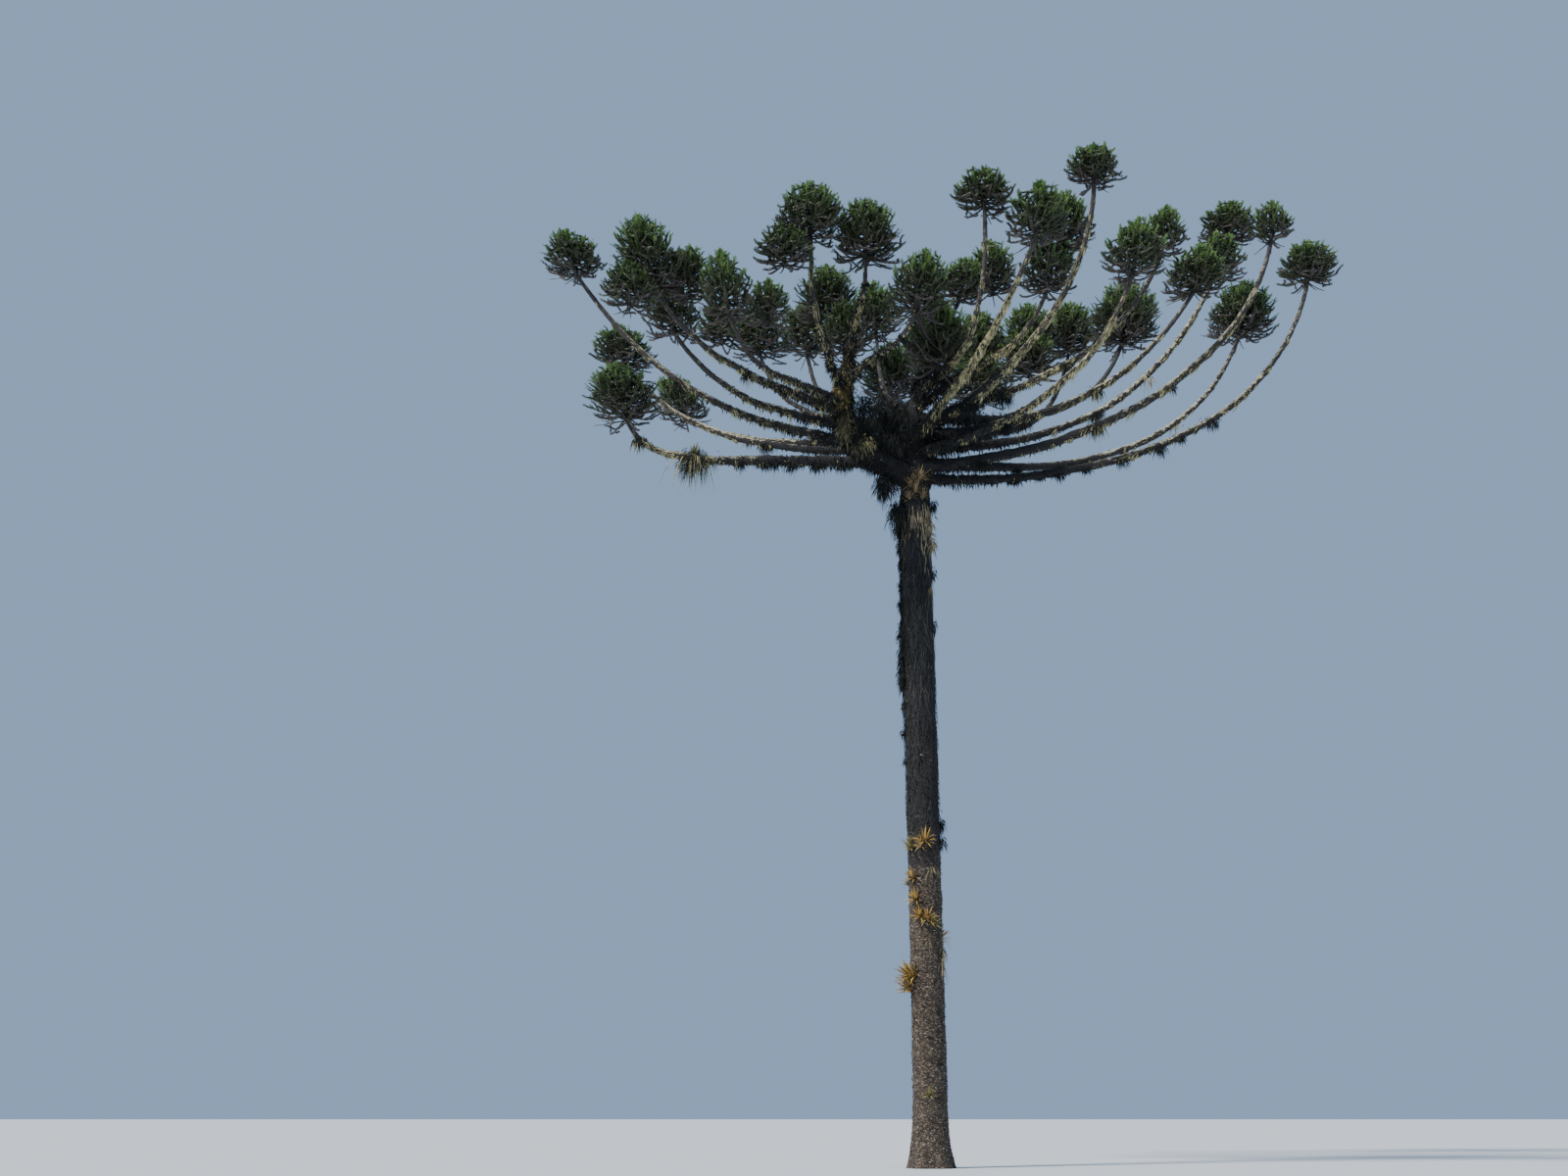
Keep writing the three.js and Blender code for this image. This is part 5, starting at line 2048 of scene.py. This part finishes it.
    def _fringe(self, pile: Pile, fringe: Fringe) -> None:
        """Adds thin strands that hang all round a length of the trunk.

        Args:
            pile: Where they go.
            fringe: The strands' description.
        """
        count = fringe.count
        height = self.random.uniform(*fringe.heights, count)
        bearing = self.random.uniform(0, math.tau, count)
        out = level_way(bearing)
        sideways = quarter_on(out)
        root = self._axis(height) + out * (self.trunk.radius(height)[:, None] - self.set_in)
        fall = np.linspace(0, 1, 5)
        length = self.random.uniform(*fringe.lengths, count)
        lift = out[:, None] * (0.006 + length[:, None] * 0.22 * fall * (1.2 - fall))[..., None]
        slant = self.random.normal(0, 0.22, (count, 1)) * fall
        bow = slant + self.random.normal(0, 0.3, (count, 1)) * fall * (1 - fall)
        line = root[:, None] + lift - UP * (length[:, None] * fall)[..., None]
        line = line + sideways[:, None] * (bow * length[:, None])[..., None]
        width = fringe.wide * self.random.uniform(0.5, 1.5, count)
        pile.add(*ribbons(line, (0.7, 1.0, 1.0, 0.7, 0.0), unit(sideways + out * 0.4), width))

    def _flakes(self, pile: Pile) -> None:
        """Adds curled flakes of bark all over the trunk.

        Args:
            pile: Where they go.
        """
        count = self.flakes
        height = self.random.uniform(*self.flake_heights, count)
        bearing = self.random.uniform(0, math.tau, count)
        out = level_way(bearing)
        sideways = quarter_on(out)
        radius = self.trunk.radius(height, math.pi / 2 - bearing)[:, None]
        root = self._axis(height) + out * (radius - 2 * self.set_in)
        way = out * 0.8 + sideways * self.random.normal(0, 0.5, (count, 1))
        way = unit(way + UP * self.random.normal(-0.3, 0.7, (count, 1)))
        length = self.random.uniform(0.015, 0.045, count)
        line = root[:, None] + way[:, None] * (length[:, None] * FLAP_STEPS)[..., None]
        flat = square_to(sideways + UP * self.random.normal(0, 0.4, (count, 1)), way)
        pile.add(*ribbons(line, (1.0, 0.9, 0.0), flat, self.random.uniform(0.015, 0.045, count)))

    def dress(self, finishes: Mapping[str, Finish]) -> None:
        """Grows all of it.

        Args:
            finishes: The finish of each kind, by the name of its piece.
        """
        piles = {name: Pile() for name in finishes}
        for rosette in TRUNK_ROSETTES:
            place, out = self._on_trunk(rosette.place, rosette.bearing)
            for straps, leaves, fine in STRAP_MIX[rosette.straps]:
                self._rosette(piles[straps.value], place, out, rosette.size, leaves, fine)
        for rosette in FORK_ROSETTES:
            out = heading(rosette.bearing, 0)
            bark = float(self.trunk.fork_radius(rosette.place)) * self.fork_bedding
            place = self.trunk.fork.point(rosette.place)[0] + out * bark
            leaves = (self.fork_leaves, self.fork_fineness)
            self._rosette(piles[rosette.straps.value], place, out, rosette.size, *leaves)
        for name, clumps in CLUMPS.items():
            for clump in clumps:
                self._clump(piles[name], clump)
        self._on_boughs(piles["fern_clumps"], piles["bough_beards"], piles[GREEN.value])
        for streak in STREAKS:
            self._streak(piles[streak.kind], streak)
        for fringe in FRINGES:
            self._fringe(piles[fringe.kind], fringe)
        self._flakes(piles["bark_flakes"])
        for name, pile in piles.items():
            pile.make(name, finishes[name], SLOTS.get(name, "foliage"), smooth=False)


# Floor, light and camera


@dataclass(frozen=True)
class Studio:
    """A plain pale floor, soft light and the photograph's point of view."""

    camera_place: tuple[float, float, float] = (-2.80, -38.76, 1.01)
    camera_rise: float = 15.0
    lens: float = 45.0
    sensor: float = 36.0
    clip: Span = (0.5, 1000.0)
    floor_size: float = 600.0
    floor_tones: tuple[Colour, Colour] = ((0.66, 0.68, 0.70), (0.70, 0.71, 0.73))
    sky: Colour = (0.46, 0.68, 1.0)
    sky_strength: float = 0.60
    key: Colour = (1.0, 0.965, 0.90)
    key_strength: float = 5.0
    key_width: float = 9
    key_turns: tuple[float, float, float] = (46, -14, -38)

    def floor(self) -> None:
        """Lays the floor."""
        sketch = Sketch("floor_paint")
        cloud = sketch.noise(sketch.places(), 0.4, 2)
        paint = sketch.finish(Base_Color=sketch.blend(cloud, *self.floor_tones), Roughness=0.9)
        half = self.floor_size / 2
        corners = [(-half, -half, 0), (half, -half, 0), (half, half, 0), (-half, half, 0)]
        mesh = bpy.data.meshes.new("floor")
        mesh.from_pydata(corners, [], [(0, 1, 2, 3)])
        mesh.materials.append(paint)
        floor = bpy.data.objects.new("floor", mesh)
        bpy.context.scene.collection.objects.link(floor)

    def light(self) -> None:
        """Sets an even sky and one broad key light from the upper left."""
        world = bpy.data.worlds.new("soft_room")
        world.use_nodes = True
        sky = next(n for n in world.node_tree.nodes if n.type == "BACKGROUND")
        sky.inputs["Color"].default_value = (*self.sky, 1)
        sky.inputs["Strength"].default_value = self.sky_strength
        bpy.context.scene.world = world
        key = bpy.data.lights.new("key", "SUN")
        key.energy = self.key_strength
        key.angle = math.radians(self.key_width)
        key.color = self.key
        lamp = bpy.data.objects.new("key", key)
        lamp.rotation_euler = [math.radians(turn) for turn in self.key_turns]
        bpy.context.scene.collection.objects.link(lamp)

    def camera(self) -> None:
        """Places the camera."""
        data = bpy.data.cameras.new("camera")
        data.lens = self.lens
        data.sensor_width = self.sensor
        data.clip_start, data.clip_end = self.clip
        camera = bpy.data.objects.new("camera", data)
        camera.location = self.camera_place
        camera.rotation_euler = (math.radians(90 + self.camera_rise), 0, 0)
        bpy.context.scene.collection.objects.link(camera)
        bpy.context.scene.camera = camera


def wood_points(trunk: Trunk, boughs: Sequence[Bough]) -> tuple[Array, Array]:
    """Places down the middle of all the wood, with its radius there.

    Args:
        trunk: The forked trunk.
        boughs: All boughs.

    Returns:
        Places and radii.
    """
    share = np.linspace(0, 1, WOOD_STEPS)
    stem, fork = trunk.course.point(share), trunk.fork.point(share)
    places, radii = [stem, fork], [trunk.radius(stem[:, 2]), trunk.fork_radius(share)]
    for bough in boughs:
        places.append(bough.line(share)[0])
        radii.append(bough.radius(share))
    return np.concatenate(places), np.concatenate(radii)


# Below this beard a bough's bark is the painted-shade copy.
SHADED_BEARD = 0.5


def main() -> None:
    """Builds the tree, its light and the camera, and writes how large it came out."""
    logging.basicConfig(level=logging.INFO, format="%(name)s %(message)s")
    studio = Studio()
    studio.floor()
    studio.light()
    studio.camera()

    trunk = Trunk()
    boughs = [Bough(limb, trunk) for limb in LIMBS]
    trunk_bark = TrunkBark().make("trunk_bark")
    bough_bark = BoughBark().make("bough_bark")
    # Painted shade: a darker copy of the bough bark, for the boughs at the back of the crown.
    shaded_bark = BoughBark(crust=(0.046, 0.044, 0.038)).make("shaded_bark")
    newer_bark = BoughBark(plate=(0.066, 0.056, 0.054), crust=(0.170, 0.150, 0.126)).make("newer_bark")
    trunk.dress(trunk_bark)
    for bough in boughs:
        # Boughs with little beard take the painted-shade copy, also on their newer wood.
        shaded = bough.limb.beard < SHADED_BEARD
        bough.dress(shaded_bark if shaded else bough_bark, shaded_bark if shaded else newer_bark)

    heads: list[Head] = []
    ends = np.array([1.0])
    for index, bough in enumerate(boughs):
        limb = bough.limb
        tip, along = bough.course.point(ends)[0], bough.course.tangent(ends)[0]
        size = (limb.width, limb.height)
        heads += heads_of(f"foliage_{limb.name}", index, tip, along, size, limb.also, limb.green)
    tip, along = trunk.course.point(ends)[0], trunk.course.tangent(ends)[0]
    heads += heads_of("foliage_28", len(boughs), tip, along, LEADER_HEAD, (LEADER_ARM,))
    Stems(heads).dress(bough_bark)

    shoot_bark = Leafy((0.022, 0.027, 0.014), (0.032, 0.027, 0.018), 0.8).make("shoot_bark")
    leaf_finishes = {age: age.value.make(f"leaf_{age.name.lower()}") for age in Age}
    Foliage(heads, *wood_points(trunk, boughs)).dress(leaf_finishes, shoot_bark)

    lichen = Leafy((0.450, 0.420, 0.230), (0.170, 0.162, 0.088), 0.9).make("beard_lichen")
    # Painted shade: the moss at the feet of the boughs is dark moss kept near black and bluish for the
    # crown's shaded heart.
    moss = Leafy((0.006, 0.007, 0.009), (0.016, 0.018, 0.014), 0.95).make("limb_moss")
    shag = Leafy((0.010, 0.010, 0.011), (0.032, 0.030, 0.024), 0.95).make("bough_shag")
    Coat(boughs, trunk).dress(lichen, moss, shag)
    Epiphytes(trunk, {bough.limb.name: bough for bough in boughs}).dress({
        RIPE.value: Leafy((0.600, 0.370, 0.066), (0.330, 0.190, 0.052), 0.6).make("rosette_orange"),
        GREEN.value: Leafy((0.260, 0.250, 0.070), (0.170, 0.180, 0.060), 0.6).make("rosette_yellow_green"),
        WITHERED.value: Leafy((0.330, 0.262, 0.150), (0.170, 0.112, 0.064), 0.8).make("rosette_withered"),
        # Painted shade: the dark fern is kept near black and bluish for the crown's shade it hangs in.
        "fern_clumps": Leafy((0.007, 0.009, 0.010), (0.018, 0.020, 0.016), 0.9).make("dark_fern"),
        "ochre_moss": Leafy((0.200, 0.150, 0.056), (0.130, 0.112, 0.052), 0.9).make("ochre_moss"),
        "olive_moss": Leafy((0.185, 0.172, 0.084), (0.092, 0.090, 0.050), 0.9).make("olive_moss"),
        "trunk_straw": Leafy((0.230, 0.198, 0.122), (0.115, 0.098, 0.066), 0.9).make("straw"),
        # Painted shade: the runs and grey strands down the trunk are given darker tones for the crown's
        # shadow over the upper trunk.
        "trunk_runs": Leafy((0.082, 0.077, 0.068), (0.040, 0.039, 0.037), 0.9).make("pale_runs"),
        "trunk_grey": Leafy((0.042, 0.043, 0.050), (0.024, 0.025, 0.031), 0.95).make("grey_runs"),
        "bough_beards": lichen,
        "bark_flakes": trunk_bark,
    })


if __name__ == "__main__":
    main()
